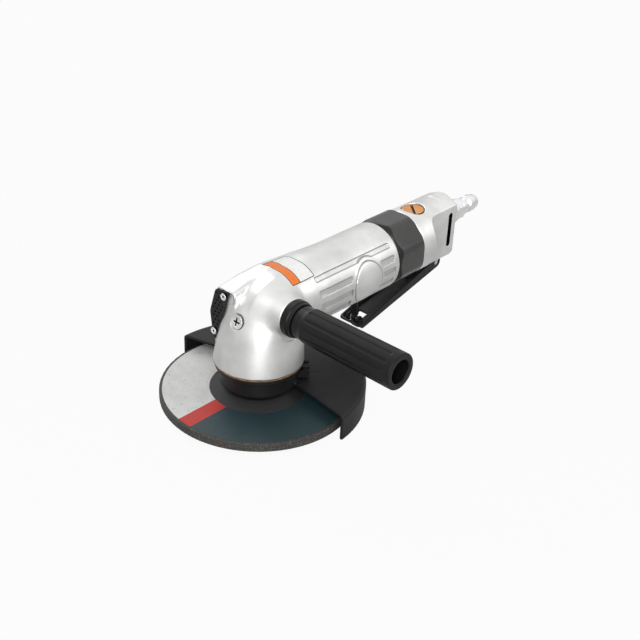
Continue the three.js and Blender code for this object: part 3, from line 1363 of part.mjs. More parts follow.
function latchPinHole() {
  const reach = lever.slotHalfWidth + latch.earThickness + overrun;
  return bar("y", latch.pinRadius + fitGap, -reach, reach, [latchAxis.x, latchAxis.z], tinySteps);
}

function latchPin() {
  const reach = lever.slotHalfWidth + latch.earThickness;
  return bar("y", latch.pinRadius, -reach, reach, [latchAxis.x, latchAxis.z], tinySteps);
}

function leverPin() {
  const reach = lever.rearHalfWidth - lever.pinEndGap;
  return bar("y", lever.pinRadius, -reach, reach);
}

// Catch: an upright tip above its eye and a finger tail below, drawn about its own pin
function lockCatch() {
  const half = latch.thickness / 2;
  const eyeHalf = latch.eyeHalfWidth;
  const shoulder = latch.eyeRadius + runGap;
  const neck = block([-half, half], [-eyeHalf, eyeHalf], [-shoulder - half, shoulder + half]);
  const tip = block([-half, half], [-latch.halfWidth, latch.halfWidth], [shoulder, latch.tipLength]);
  const tail = extruded("y", [
    [-half, -shoulder], [half, -shoulder], [half + latch.thickness, -latch.tailLength],
    [half, -latch.tailLength],
  ], -latch.halfWidth, latch.halfWidth);
  const eye = bar("y", latch.eyeRadius, -eyeHalf, eyeHalf, [0, 0], smallSteps);
  const reach = latch.halfWidth + overrun;
  const hole = bar("y", latch.pinRadius + fitGap, -reach, reach, [0, 0], tinySteps);
  return tip.add(neck).add(tail).add(eye).subtract(hole);
}

// Torsion spring round the catch's pin, beside the eye
function catchSpring() {
  const low = latch.eyeHalfWidth + fitGap;
  const high = latch.halfWidth - fitGap;
  const wound = coil({
    radius: latch.springRadius, wire: latch.springWire, low, high, turns: latch.springTurns, stepsPerTurn: 8 });
  return placed(wound, new THREE.Matrix4().makeRotationX(-Math.PI / 2));
}

// Air inlet adapter and plug, drawn about the X axis from the boss's end face
function inletAdapter() {
  const corner = inlet.adapterFlats / Math.sqrt(3);
  const front = fitGap;
  const collarBack = front + inlet.collarLength;
  const back = front + inlet.adapterLength;
  const edge = corner - inlet.adapterFlats / 2;
  const hexagon = bar("x", corner, collarBack - edge, back, [0, 0], hexSides);
  const round = turned("x", [
    [0, front], [corner, front], [corner, back - edge], [corner - edge, back], [0, back],
  ], smallSteps);
  const collar = turned("x", [
    [0, front], [inlet.collarRadius, front], [inlet.collarRadius, collarBack - edge],
    [inlet.collarRadius - edge, collarBack], [0, collarBack],
  ], smallSteps);
  const bore = turned("x", [
    [0, -inlet.shankLength - overrun], [inlet.boreRadius, -inlet.shankLength - overrun],
    [inlet.boreRadius, back - inlet.plugShankLength - fitGap],
    [inlet.plugShankRadius + fitGap, back - inlet.plugShankLength - fitGap],
    [inlet.plugShankRadius + fitGap, back + overrun], [0, back + overrun],
  ], smallSteps);
  const shank = bar("x", inlet.shankRadius, -inlet.shankLength, (front + back) / 2);
  return hexagon.intersect(round).add(collar).add(shank).subtract(bore);
}

function inletPlug() {
  const start = 2 * fitGap + inlet.adapterLength;
  const section = inlet.plugLengthShares.map((share, i) => [inlet.plugRadii[i], start + share * inlet.plugLength]);
  const shankStart = start - inlet.plugShankLength;
  return turned("x", [
    [inlet.boreRadius, shankStart], [inlet.plugShankRadius, shankStart], [inlet.plugShankRadius, start],
    ...section, [inlet.boreRadius, start + inlet.plugLength],
  ], smallSteps);
}

// The assembly: each piece is a named mesh in the group that carries it
const grinder = new THREE.Group();

function group(parent, x = 0, y = 0, z = 0) {
  const made = new THREE.Group();
  made.position.set(x, y, z);
  parent.add(made);
  return made;
}

function piece(parent, name, made, material) {
  const mesh = new THREE.Mesh(geometryOf(made), material);
  mesh.name = name;
  parent.add(mesh);
  return mesh;
}

const gearHead = group(grinder);
piece(gearHead, "motor_housing", motorHousing(), finishes.castAluminium);
piece(gearHead, "exhaust_plate", exhaustPlate(), finishes.satinBlack);
piece(gearHead, "exhaust_screw_upper", plateFastener(plateScrew.upper), finishes.chrome);
piece(gearHead, "exhaust_screw_lower", plateFastener(plateScrew.lower), finishes.chrome);
piece(gearHead, "front_plug_screw", frontPlugScrew(), finishes.chrome);
piece(gearHead, "head_gasket", headGasket(), finishes.gasketPaper);
piece(gearHead, "bearing_cap", bearingCap(), finishes.blackSteel);
piece(gearHead, "lower_bearing_outer_race", outerRace("z", lowerBearing, lowerBearingBottom), finishes.steel);
piece(gearHead, "upper_bearing_outer_race", outerRace("z", upperBearing, upperBearingBottom), finishes.steel);

const spindleGroup = group(grinder);
piece(spindleGroup, "spindle", spindleShaft(), finishes.steel);
piece(spindleGroup, "lower_bearing_inner_race", innerRace("z", lowerBearing, lowerBearingBottom), finishes.steel);
piece(spindleGroup, "upper_bearing_inner_race", innerRace("z", upperBearing, upperBearingBottom), finishes.steel);
piece(spindleGroup, "bevel_gear", crownGear(), finishes.steel);
piece(spindleGroup, "gear_key", keyBlock(), finishes.steel);
piece(spindleGroup, "gear_clip", springClip(), finishes.steel);
piece(spindleGroup, "inner_flange", discFlange(), finishes.blackSteel);
piece(spindleGroup, "grinding_disc", grindingDisc(), finishes.abrasive);
piece(spindleGroup, "flange_nut", discNut(), finishes.blackSteel);

const guardGroup = group(grinder);
piece(guardGroup, "guard", guardCover(), finishes.satinBlack);
piece(guardGroup, "guard_clamp_bolt", clampBolt(), finishes.blackSteel);
piece(guardGroup, "guard_clamp_nut", clampNut(), finishes.blackSteel);

const handleGroup = group(grinder);
piece(handleGroup, "handle_flange", handleFlange(), finishes.blackPlastic);
piece(handleGroup, "handle_grip", handleGrip(), finishes.blackPlastic);
piece(handleGroup, "handle_stud", handleStud(), finishes.steel);

const motorGroup = group(grinder, 0, 0, motorAxisHeight);
piece(motorGroup, "front_motor_plate", motorPlateFront(), finishes.steel);
piece(motorGroup, "rear_motor_plate", motorPlateRear(), finishes.steel);
piece(motorGroup, "motor_cylinder", motorCylinder(), finishes.steel);
piece(motorGroup, "front_bearing_outer_race", outerRace("x", rotorBearing, frontBearingFront), finishes.steel);
piece(motorGroup, "rear_bearing_outer_race", outerRace("x", rotorBearing, rearBearingFront), finishes.steel);
const rotorGroup = group(motorGroup);
piece(rotorGroup, "rotor", motorRotor(), finishes.steel);
piece(rotorGroup, "bevel_pinion", pinionGear(), finishes.steel);
piece(rotorGroup, "front_bearing_inner_race", innerRace("x", rotorBearing, frontBearingFront), finishes.steel);
piece(rotorGroup, "rear_bearing_inner_race", innerRace("x", rotorBearing, rearBearingFront), finishes.steel);
for (let i = 0; i < motor.vanes; i += 1) {
  piece(rotorGroup, `rotor_vane_${i + 1}`, motorVane(i), finishes.fibre);
}
piece(motorGroup, "clamp_ring", clampRing(), finishes.glossGrey);

const rearGroup = group(grinder);
piece(rearGroup, "rear_housing", rearHousing(), finishes.castAluminium);
const valveGroup = group(rearGroup, valve.x, 0, 0);
piece(valveGroup, "valve_cap", valveCap(), finishes.brass);
piece(valveGroup, "valve_spring", valveSpring(), finishes.steel);
piece(valveGroup, "valve_seat", valveSeat(), finishes.brass);
piece(valveGroup, "valve_poppet", valvePoppet(), finishes.blackPlastic);
piece(valveGroup, "valve_stem", valveStem(), finishes.steel);
const inletGroup = group(rearGroup, rear.bossEnd, 0, inlet.height);
piece(inletGroup, "inlet_adapter", inletAdapter(), finishes.chrome);
piece(inletGroup, "inlet_plug", inletPlug(), finishes.chrome);

const leverGroup = group(grinder, lever.pivotX, 0, lever.pivotHeight);
leverGroup.rotation.y = -lever.droop * degree;
piece(leverGroup, "throttle_lever", throttleLever(), finishes.blackSteel);
piece(leverGroup, "lever_pin", leverPin(), finishes.steel);
piece(leverGroup, "catch_pin", latchPin(), finishes.steel);
const catchSpringGroup = group(leverGroup, latchAxis.x, 0, latchAxis.z);
piece(catchSpringGroup, "catch_spring", catchSpring(), finishes.steel);
const catchGroup = group(leverGroup, latchAxis.x, 0, latchAxis.z);
catchGroup.rotation.y = lever.droop * degree;
piece(catchGroup, "lock_off_catch", lockCatch(), finishes.blackSteel);

export default grinder;
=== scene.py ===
import math

import bmesh
import bpy
import numpy as np
from mathutils import Matrix, Vector


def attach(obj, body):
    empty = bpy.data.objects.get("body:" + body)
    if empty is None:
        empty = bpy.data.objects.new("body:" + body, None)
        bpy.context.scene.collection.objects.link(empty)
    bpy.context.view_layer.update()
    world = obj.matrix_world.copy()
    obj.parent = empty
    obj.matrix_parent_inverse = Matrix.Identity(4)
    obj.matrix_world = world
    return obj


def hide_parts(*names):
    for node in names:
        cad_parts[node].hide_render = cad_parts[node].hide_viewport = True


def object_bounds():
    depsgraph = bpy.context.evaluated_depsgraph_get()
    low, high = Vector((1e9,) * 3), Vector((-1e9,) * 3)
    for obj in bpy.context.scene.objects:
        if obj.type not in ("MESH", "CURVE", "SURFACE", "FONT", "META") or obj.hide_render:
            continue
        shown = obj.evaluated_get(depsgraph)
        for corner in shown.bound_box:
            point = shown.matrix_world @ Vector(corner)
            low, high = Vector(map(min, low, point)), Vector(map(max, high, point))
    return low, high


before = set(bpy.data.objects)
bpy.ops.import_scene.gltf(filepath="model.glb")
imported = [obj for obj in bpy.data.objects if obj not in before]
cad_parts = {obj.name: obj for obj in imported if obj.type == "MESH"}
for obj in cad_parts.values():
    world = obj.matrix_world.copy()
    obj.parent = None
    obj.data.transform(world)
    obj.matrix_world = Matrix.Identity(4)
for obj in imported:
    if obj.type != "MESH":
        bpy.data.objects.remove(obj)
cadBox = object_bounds()
metre = 0.001
axisHeight = 60.0  # of the rotor's axis over the spindle's end
past = 240  # where an open cut ends, beyond every piece
core = -9  # where a half outline closes, on the other side of its axis


class Sizes(dict):  # a piece's dictionary, read as sizes.name
    __getattr__ = dict.__getitem__


# camera
view = Sizes(
    target=(56.49, 0.0, 29.93), azimuth=-48.58, elevation=30.53, roll=2.69,
    distance=745.38, lens=63.84, sensor=36.0,
)


def placeCamera():
    azimuth, elevation, roll = (math.radians(view[k]) for k in ("azimuth", "elevation", "roll"))
    level = math.cos(elevation)
    back = Vector((math.sin(azimuth) * level, -math.cos(azimuth) * level, math.sin(elevation)))
    right = Vector((math.cos(azimuth), math.sin(azimuth), 0))
    up = back.cross(right)
    turnedRight = right * math.cos(roll) + up * math.sin(roll)
    turnedUp = up * math.cos(roll) - right * math.sin(roll)
    eye = (Vector(view.target) + back * view.distance) * metre
    data = bpy.data.cameras.new("photoCamera")
    data.lens, data.sensor_width = view.lens, view.sensor
    data.clip_start, data.clip_end = 0.01, 20
    camera = bpy.data.objects.new("photoCamera", data)
    bpy.context.scene.collection.objects.link(camera)
    rows = [(turnedRight[i], turnedUp[i], back[i], eye[i]) for i in range(3)]
    camera.matrix_world = Matrix((*rows, (0, 0, 0, 1)))
    bpy.context.scene.camera = camera


placeCamera()
print("camera placed")


# distance fields, in millimetres: negative inside, zero on the surface
def melt(a, b, soft):  # joined, with a fillet of about this size
    mix = np.clip(0.5 + 0.5 * (b - a) / soft, 0, 1)
    return b + (a - b) * mix - soft * mix * (1 - mix)


def meet(a, b, soft=0.4):  # common part, with a rounded edge
    return -melt(-a, -b, soft)


def carve(a, b, soft=0.4):  # b cut out of a
    return meet(a, -b, soft)


def rod(along, across, radius, start, end, edge=0.0):
    side = across - radius + edge
    cap = np.maximum(start - along, along - end) + edge
    return np.minimum(np.maximum(side, cap), 0) + np.hypot(np.maximum(side, 0), np.maximum(cap, 0)) - edge


def slab(x, y, z, low, high, edge=0.0):
    parts = [np.abs(v - (a + b) / 2) - (b - a) / 2 + edge for v, a, b in zip((x, y, z), low, high)]
    outside = np.sqrt(sum(np.maximum(part, 0) ** 2 for part in parts))
    return outside + np.minimum(np.maximum(np.maximum(parts[0], parts[1]), parts[2]), 0) - edge


def outline(u, v, points):  # closed polygon
    best = np.full(np.shape(u), 1e9)
    inside = np.zeros(np.shape(u), bool)
    for (u0, v0), (u1, v1) in zip(points, points[1:] + points[:1]):
        du, dv = u1 - u0, v1 - v0
        share = np.clip(((u - u0) * du + (v - v0) * dv) / (du * du + dv * dv), 0, 1)
        best = np.minimum(best, (u - u0 - share * du) ** 2 + (v - v0 - share * dv) ** 2)
        if dv:
            inside ^= ((v0 > v) != (v1 > v)) & (u < u0 + (v - v0) * du / dv)
    return np.where(inside, -1, 1) * np.sqrt(best)


def planes(u, v, corners, soft):  # convex outline with rounded corners, given anticlockwise
    made = None
    for (u0, v0), (u1, v1) in zip(corners, corners[1:] + corners[:1]):
        du, dv = u1 - u0, v1 - v0
        edge = ((u - u0) * dv - (v - v0) * du) / np.hypot(du, dv)
        made = edge if made is None else meet(made, edge, soft)
    return made


def tilted(x, z, pivot, angle):  # coordinates about a pivot, turned in the side view
    c, s = math.cos(angle), math.sin(angle)
    dx, dz = x - pivot[0], z - pivot[1]
    return dx * c - dz * s, dx * s + dz * c


def smoothLine(points, steps=4):  # a soft curve through points
    points = np.array(points, float)
    padded = np.vstack([2 * points[0] - points[1], points, 2 * points[-1] - points[-2]])
    made = []
    for i in range(len(points) - 1):
        a, b, c, d = padded[i:i + 4]
        for t in np.linspace(0, 1, steps, endpoint=False):
            made.append(0.5 * (2 * b + (c - a) * t + (2 * a - 5 * b + 4 * c - d) * t ** 2
                               + (3 * b - a - 3 * c + d) * t ** 3))
    made.append(points[-1])
    return np.array(made)


block = 4  # cells along one side of a block of the search grid


def skin(field, low, high, cell):  # quads over the field's surface
    low, high = np.array(low, float) - cell, np.array(high, float) + cell
    blocks = np.ceil((high - low) / (cell * block)).astype(int) + 1
    middles = [low[i] + cell * (block * np.arange(blocks[i]) + (block - 1) / 2) for i in range(3)]
    rough = field(*(g.ravel() for g in np.meshgrid(*middles, indexing="ij"))).reshape(blocks)
    full = rough.repeat(block, 0).repeat(block, 1).repeat(block, 2)
    busy = np.argwhere(np.abs(rough) < cell * block * 1.25)
    steps = np.stack(np.meshgrid(*[np.arange(block)] * 3, indexing="ij"), -1).reshape(-1, 3)
    at = (busy[:, None, :] * block + steps[None]).reshape(-1, 3)
    full[tuple(at.T)] = field(*(low + cell * at).T)
    inside = full < 0
    numbers = np.arange(full.size).reshape(full.shape)
    total, count, quads = np.zeros((full.size, 3)), np.zeros(full.size), []
    for axis in range(3):
        step = np.eye(3, dtype=int)[axis]
        near = tuple(slice(0, -1) if i == axis else slice(1, None) for i in range(3))
        cross = np.argwhere(inside[near] != inside[1:, 1:, 1:]) + (1 - step)
        here, there = full[tuple(cross.T)], full[tuple((cross + step).T)]
        point = low + cell * (cross + (here / (here - there))[:, None] * step)
        second, third = np.roll(step, 1), np.roll(step, 2)
        cells = [numbers[tuple((cross - b * second - c * third).T)]
                 for b, c in ((0, 0), (1, 0), (1, 1), (0, 1))]
        for group in cells:
            count += np.bincount(group, minlength=count.size)
            for i in range(3):
                total[:, i] += np.bincount(group, point[:, i], minlength=count.size)
        quad = np.stack(cells, 1)
        turn = here > 0
        quad[turn] = quad[turn][:, ::-1]
        quads.append(quad)
    used = np.flatnonzero(count)
    points = total[used] / count[used, None]
    lookup = np.zeros(count.size, int)
    lookup[used] = np.arange(used.size)
    return pulled(field, points, cell), lookup[np.concatenate(quads)]


def pulled(field, points, cell):  # corners drawn on to the true surface
    step = cell / 10
    for _ in range(2):
        x, y, z = points.T
        value = field(x, y, z)
        slope = np.stack([field(x + step, y, z), field(x, y + step, z), field(x, y, z + step)], 1)
        slope = (slope - value[:, None]) / step
        move = -(value / np.maximum((slope ** 2).sum(1), 0.25))[:, None] * slope
        length = np.maximum(np.sqrt((move ** 2).sum(1)), 1e-9)
        points = points + move * np.minimum(1, 0.5 * cell / length)[:, None]
    return points


def meshPiece(name, points, faces):
    mesh = bpy.data.meshes.new(name)
    mesh.from_pydata((np.asarray(points) * metre).tolist(), [], np.asarray(faces).tolist())
    mesh.polygons.foreach_set("use_smooth", [True] * len(mesh.polygons))
    piece = bpy.data.objects.new(name, mesh)
    bpy.context.scene.collection.objects.link(piece)
    return piece


def fieldPiece(name, field, low, high, cells, body, node, look):  # cells: fine and quick, of which only the fine one is used
    points, faces = skin(field, low, high, cells[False])
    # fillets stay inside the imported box
    points = np.clip(points, *(np.array(corner) / metre for corner in cadBox))
    dressed(meshPiece(name, points, faces), body, node, look)


def dressed(piece, body, node, look):  # material, body and the node it stands for
    piece.data.materials.append(look.material)
    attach(piece, body)
    if node:
        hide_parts(node)
    print(piece.name, len(piece.data.polygons), "faces")


# turned pieces
def softCorners(section, edge, steps=4):  # corners of a half section, rounded
    made = []
    for i, here in enumerate(section):
        here = np.array(here, float)
        before = np.array(section[i - 1], float) - here
        after = np.array(section[(i + 1) % len(section)], float) - here
        reach = min(edge, np.hypot(*before) * 0.45, np.hypot(*after) * 0.45)
        a = here + before / np.hypot(*before) * reach
        b = here + after / np.hypot(*after) * reach
        for t in np.linspace(0, 1, steps + 1):
            made.append(tuple((1 - t) ** 2 * a + 2 * t * (1 - t) * here + t * t * b))
    return made


axisOrder = {"x": (2, 0, 1), "y": (0, 2, 1), "z": (0, 1, 2)}


def turnedPiece(name, axis, section, look, body, node, middle=(0, 0), steps=128, edge=0.4, wave=None):
    section = softCorners(section, edge)
    count = len(section)
    points, faces = [], []
    for s in range(steps):
        angle = 2 * math.pi * s / steps
        for radius, place in section:
            r = wave(angle, radius, place) if wave else radius
            local = (r * math.cos(angle) + middle[0], r * math.sin(angle) + middle[1], place)
            points.append([local[i] for i in axisOrder[axis]])
    for s in range(steps):
        n = (s + 1) % steps
        for i in range(count):
            j = (i + 1) % count
            faces.append((s * count + i, n * count + i, n * count + j, s * count + j))
    dressed(cleaned(meshPiece(name, points, faces)), body, node, look)


def cleaned(piece):  # doubled corners merged, faces outwards, flat faces keep flat shading
    bm = bmesh.new()
    bm.from_mesh(piece.data)
    bmesh.ops.remove_doubles(bm, verts=bm.verts, dist=1e-6)
    bmesh.ops.dissolve_degenerate(bm, edges=bm.edges, dist=1e-7)
    bmesh.ops.recalc_face_normals(bm, faces=bm.faces)
    bm.to_mesh(piece.data)
    bm.free()
    piece.modifiers.new("flatFaces", "WEIGHTED_NORMAL").keep_sharp = False
    return piece


# finishes
class Graph:  # the nodes of a material or of the world
    def __init__(self, owner):
        owner.use_nodes = True
        self.material, self.nodes, self.links = owner, owner.node_tree.nodes, owner.node_tree.links
        self.shader = self.nodes.get("Principled BSDF")

    def put(self, socket, value):  # a link, a number, or a colour given as one grey or three shares
        if isinstance(value, bpy.types.NodeSocket):
            self.links.new(value, socket)
        elif socket.type == "RGBA":
            socket.default_value = (*value, 1) if isinstance(value, tuple) else (value, value, value, 1)
        else:
            socket.default_value = value

    def shade(self, values):  # the shader's inputs by name
        for name, value in values.items():
            self.put(self.shader.inputs[name], value)

    def node(self, kind, inputs=(), **settings):
        made = self.nodes.new("ShaderNode" + kind)
        for name, value in settings.items():
            setattr(made, name, value)
        for name, value in inputs:
            self.put(made.inputs[name], value)
        return made

    def calc(self, operation, first, second=None):
        inputs = [(i, value) for i, value in enumerate((first, second)) if value is not None]
        return self.node("Math", inputs, operation=operation).outputs[0]

    def within(self, value, low, high):  # 1 between two values, 0 outside
        return self.calc("MULTIPLY", self.calc("GREATER_THAN", value, low),
                         self.calc("LESS_THAN", value, high))

    def beyond(self, value, middle, half):  # how far a value is outside a span, negative in it
        return self.calc("SUBTRACT", self.calc("ABSOLUTE", self.calc("SUBTRACT", value, middle)), half)

    def mixed(self, share, first, second):  # colours
        return self.node("Mix", ((0, share), (6, first), (7, second)), data_type="RGBA").outputs[2]

    def over(self, share, colour):  # a colour over a share of the finish's own
        base = self.shader.inputs["Base Color"]
        self.put(base, self.mixed(share, base.links[0].from_socket, colour))

    def ramp(self, value, *stops):
        made = self.node("ValToRGB", (("Fac", value),))
        elements = made.color_ramp.elements
        while len(elements) < len(stops):
            elements.new(0.5)
        for element, (position, colour) in zip(elements, stops):
            element.position = position
            element.color = (*colour, 1) if isinstance(colour, tuple) else (colour, colour, colour, 1)
        return made.outputs["Color"]

    def noise(self, scale, detail=4.0, rough=0.55):
        place = self.node("TexCoord").outputs["Object"]
        inputs = (("Vector", place), ("Scale", scale), ("Detail", detail), ("Roughness", rough))
        return self.node("TexNoise", inputs).outputs["Fac"]

    def place(self):  # x, y and z in the frame, in millimetres
        split = self.node("SeparateXYZ", (("Vector", self.node("TexCoord").outputs["Object"]),))
        return [self.calc("DIVIDE", split.outputs[axis], metre) for axis in "XYZ"]

    def bump(self, height, strength, distance):
        inputs = (("Height", height), ("Strength", strength), ("Distance", distance))
        self.put(self.shader.inputs["Normal"], self.node("Bump", inputs).outputs["Normal"])

    def seen(self, straight, glossy):  # a share for straight rays, through glass too, one for mirrored
        path = self.node("LightPath").outputs
        direct = self.calc("MAXIMUM", path["Is Camera Ray"], path["Is Transmission Ray"])
        return self.calc("MAXIMUM", self.calc("MULTIPLY", direct, straight),
                         self.calc("MULTIPLY", path["Is Glossy Ray"], glossy))


def newLook(name):
    return Graph(bpy.data.materials.new(name))


def finish(name, light, dark, rough, metal, patches=60, grain=900, bump=0.06, depth=0.00012,
           coat=0.0, shine=0.5):
    g = newLook(name)
    fine = g.noise(grain, 3)
    g.shade({"Metallic": metal, "Specular IOR Level": shine,
             "Base Color": g.ramp(g.noise(patches, 5), (0.35, dark), (0.65, light)),
             "Roughness": g.ramp(fine, (0.3, rough[0]), (0.7, rough[1]))})
    if coat:
        g.shade({"Coat Weight": coat, "Coat Roughness": 0.12})
    g.bump(fine, bump, depth)
    return g


aluminiumTones = ((0.86, 0.86, 0.85), (0.62, 0.62, 0.61), (0.33, 0.48), 0.95, 24, 1400, 0.1, 0.00008)
castAluminium = finish("castAluminium", *aluminiumTones)
rearAluminium = finish("rearAluminium", *aluminiumTones)
turnedSteel = finish("turnedSteel", (0.66, 0.67, 0.68), (0.55, 0.56, 0.57), (0.22, 0.34), 1.0)
platingTones = ((0.94, 0.94, 0.95), (0.84, 0.84, 0.86), (0.12, 0.22), 1.0)
brightSteel = finish("brightSteel", *platingTones)
bakedEnamel = finish("bakedEnamel", (0.05, 0.049, 0.048), (0.036, 0.036, 0.035), (0.2, 0.28), 0.0,
                     80, 1200, 0.05, coat=0.25, shine=0.3)
guardPaint = finish("guardPaint", (0.014, 0.014, 0.0145), (0.008, 0.008, 0.0085), (0.38, 0.5), 0.0,
                    50, 1800, 0.25, 0.0001, shine=0.22)
blackenedSteel = finish("blackenedSteel", (0.012, 0.012, 0.013), (0.006, 0.006, 0.007), (0.34, 0.48),
                        0.0, 70, 1300, 0.12, shine=0.25)
gripPlastic = finish("gripPlastic", 0.009, 0.005, (0.3, 0.42), 0.0, 60, 1600, 0.15, shine=0.2)
plugBrass = finish("plugBrass", (0.78, 0.36, 0.12), (0.62, 0.27, 0.08), (0.24, 0.36), 0.7)
gasketCard = finish("gasketCard", (0.36, 0.2, 0.07), (0.12, 0.07, 0.03), (0.5, 0.8), 0.0, 300, 1500, 0.4)
fibreSheet = finish("fibreSheet", (0.35, 0.2, 0.09), (0.24, 0.13, 0.06), (0.6, 0.7), 0.0, 200, 1500, 0.3)
print("finishes made")

# gear head and barrel, one casting
headCasting = Sizes(
    bottom=26.6, height=55.9, radius=28.6,
    heights=(0, 0.24, 0.42, 0.55, 0.67, 0.775, 0.865, 0.935, 0.982),
    radii=(1, 0.948, 0.898, 0.85, 0.785, 0.685, 0.555, 0.395, 0.19),
    shifts=(0, 0.055, 0.1, 0.155, 0.205, 0.26, 0.31, 0.36, 0.41),
    crown=0.993, threadRadius=19.5, threadTop=38.3, gearRadius=17.9, gearTop=53,
    neckRadius=12.4, neckTop=65.4, tipRadius=7.6, tipTop=70.8, pinionRadius=10.5, pinionFront=10.6,
)
barrelCasting = Sizes(
    front=8, frontRadius=20, shoulder=22, shoulderRadius=21.5, taperEnd=40, radius=23.1, end=107.5,
    spigotRadius=20.9, spigotEnd=118, boreRadius=19.5, fillet=4.5,
    # flutes down the near side: start, end, degrees above the handle's side, half width in degrees
    flutes=((32, 101.5, 43, 4.4), (32, 61.5, 18.4, 4.6), (33, 61, -5, 5.8), (36, 61.5, -26, 4.6),
            (89.5, 102.8, 19.6, 4.6), (91.2, 103.4, -1.4, 5.4), (89.5, 103, -21.5, 4.6)),
    fluteDepth=0.85, fluteRound=0.9, wall=0.35,
    medal=(76.4, 59.4), medalRadius=12.6, rimRadius=14.9, medalRise=0.55, rimRise=0.3, lineDepth=0.65,
    # painted shade: widths of the lines at the flute edges and round the medallion, its shares there and on
    # the flute floors, and its colour
    edgeLine=0.24, ringLine=0.34, lineTone=0.62, floorTone=0.2, grime=(0.16, 0.155, 0.14),
    medalSquash=0.93, rimGap=0.4, ringGap=0.5, ringHalf=0.25,
)
ductCasting = Sizes(
    places=(-15.8, 0, 14, 44, 78, 84),
    corners=(
        ((9, -22.5), (9, -22.5), (9, -22), (9, -16), (9, -10), (9, -8)),
        ((23.5, -24.5), (25, -25), (25.6, -23), (25.4, -18), (21, -11), (18, -9)),
        ((26.2, -3), (26.4, -2), (26.6, -1), (26.2, 0), (22.4, 0), (20, 0)),
        ((21, 14.6), (19.5, 18.6), (17.8, 20.8), (17, 19.4), (16, 14.5), (14, 12)),
        ((4, 15), (3, 20.6), (3, 23.2), (3, 21.6), (3, 17), (3, 14)),
    ),
    soft=4.5, fillet=2.2, room=((21.4, -18.5), (24, -18.5), (24.4, -3), (21.4, 7.5)), roomBack=68, skin=1.7,
)
handleBoss = Sizes(
    x=4, z=64, seat=24.8, seatRadius=11.6, root=6, rootRadius=16.8, innerRadius=13, fillet=4,
    start=-4, hole=4.2, holeStart=10, clearance=4,
)
plugRecess = Sizes(height=59.2, tilt=math.radians(15), radius=4.95, depth=1.2)


def headPoints(shares, levels):  # from shares of the head's radius and height
    h = headCasting
    return smoothLine([(share * h.radius, h.bottom + level * h.height)
                       for share, level in zip(shares, levels)])


h = headCasting
headLine = headPoints((*h.radii, 0), (*h.heights, h.crown))
headShift = headPoints(h.shifts, h.heights)


def headShape(x, y, z):
    across = np.hypot(x - np.interp(z, headShift[:, 1], headShift[:, 0]), y)
    section = [tuple(p) for p in headLine]
    return outline(across, z, [(core, headCasting.bottom), *section, (core, section[-1][1])])


def smoothStep(value, width):  # 1 inside, 0 outside, with a soft wall
    t = np.clip(0.5 - value / width, 0, 1)
    return t * t * (3 - 2 * t)


def barrelRelief(x, y, z):  # flutes and medallion on the near side
    b = barrelCasting
    angle = np.degrees(np.arctan2(z - axisHeight, -y))
    relief = np.zeros(np.shape(x))
    disc = np.hypot(x - b.medal[0], (z - b.medal[1]) * b.medalSquash)
    for start, end, middle, half in b.flutes:
        along = np.abs(x - (start + end) / 2) - (end - start) / 2
        around = (np.abs(angle - middle) - half) * math.radians(b.radius)
        gap = b.fluteRound
        inside = np.hypot(np.maximum(along + gap, 0), np.maximum(around + gap, 0)) - gap
        relief -= (b.fluteDepth * smoothStep(inside, b.wall)
                   * smoothStep(b.rimRadius + b.rimGap - disc, b.wall))
    relief += b.rimRise * smoothStep(disc - b.rimRadius, b.wall * 1.5)
    relief += (b.medalRise - b.rimRise) * smoothStep(disc - b.medalRadius, b.wall)
    relief -= b.lineDepth * smoothStep(np.abs(disc - b.medalRadius - b.ringGap) - b.ringHalf, b.wall)
    return relief * (y < 0)


def barrelShape(x, y, z):
    b = barrelCasting
    across = np.hypot(y, z - axisHeight) - barrelRelief(x, y, z)
    body = outline(x, across, [(b.front, core), (b.front, b.frontRadius), (b.shoulder, b.shoulderRadius),
                               (b.taperEnd, b.radius), (b.end, b.radius), (b.end, core)])
    spigot = rod(x, across, b.spigotRadius, b.end - 2, b.spigotEnd, 0.3)
    return body, spigot


def ductShape(x, y, z):
    d = ductCasting
    corners = [(np.interp(x, d.places, [p[0] for p in row]),
                np.interp(x, d.places, [p[1] for p in row]) + axisHeight) for row in d.corners]
    made = planes(y, z, corners, d.soft)
    return meet(meet(made, d.places[0] - x, 0.8), x - d.places[-1], 4)


def bossShape(x, y, z):
    h = handleBoss
    across = np.hypot(x - h.x, z - h.z)
    return outline(-y, across, [(h.start, core), (h.start, h.innerRadius), (h.root, h.rootRadius),
                                (h.seat, h.seatRadius), (h.seat, core)])


def insideRooms(x, y, z):
    h, b, d = headCasting, barrelCasting, ductCasting
    across, around = np.hypot(x, y), np.hypot(y, z - axisHeight)
    names = ("thread", "gear", "neck", "tip")
    rooms = [rod(z, across, h[name + "Radius"], 0, h[name + "Top"]) for name in names]
    rooms += [rod(x, around, h.pinionRadius, h.pinionFront, b.shoulder + 1),
              rod(x, around, b.boreRadius, b.shoulder, past),
              np.maximum(np.maximum(planes(y, z - axisHeight, list(d.room), 0.4), x - d.roomBack),
                         ductShape(np.maximum(x, d.places[1]), y, z) + d.skin),
              rod(-y, np.hypot(x - handleBoss.x, z - handleBoss.z), handleBoss.hole,
                  handleBoss.holeStart, past)]
    return np.minimum.reduce(rooms)


def plugFrame(x, y, z):  # height over the screw's seat and distance from its axis
    height = plugRecess.height
    share = (height - headCasting.bottom) / headCasting.height
    front = (np.interp(share, headCasting.heights, headCasting.shifts)
             - np.interp(share, headCasting.heights, headCasting.radii)) * headCasting.radius
    angle = plugRecess.tilt
    up = -(x - front) * math.cos(angle) + (z - height) * math.sin(angle)
    side = (x - front) * math.sin(angle) + (z - height) * math.cos(angle)
    return up, side, y


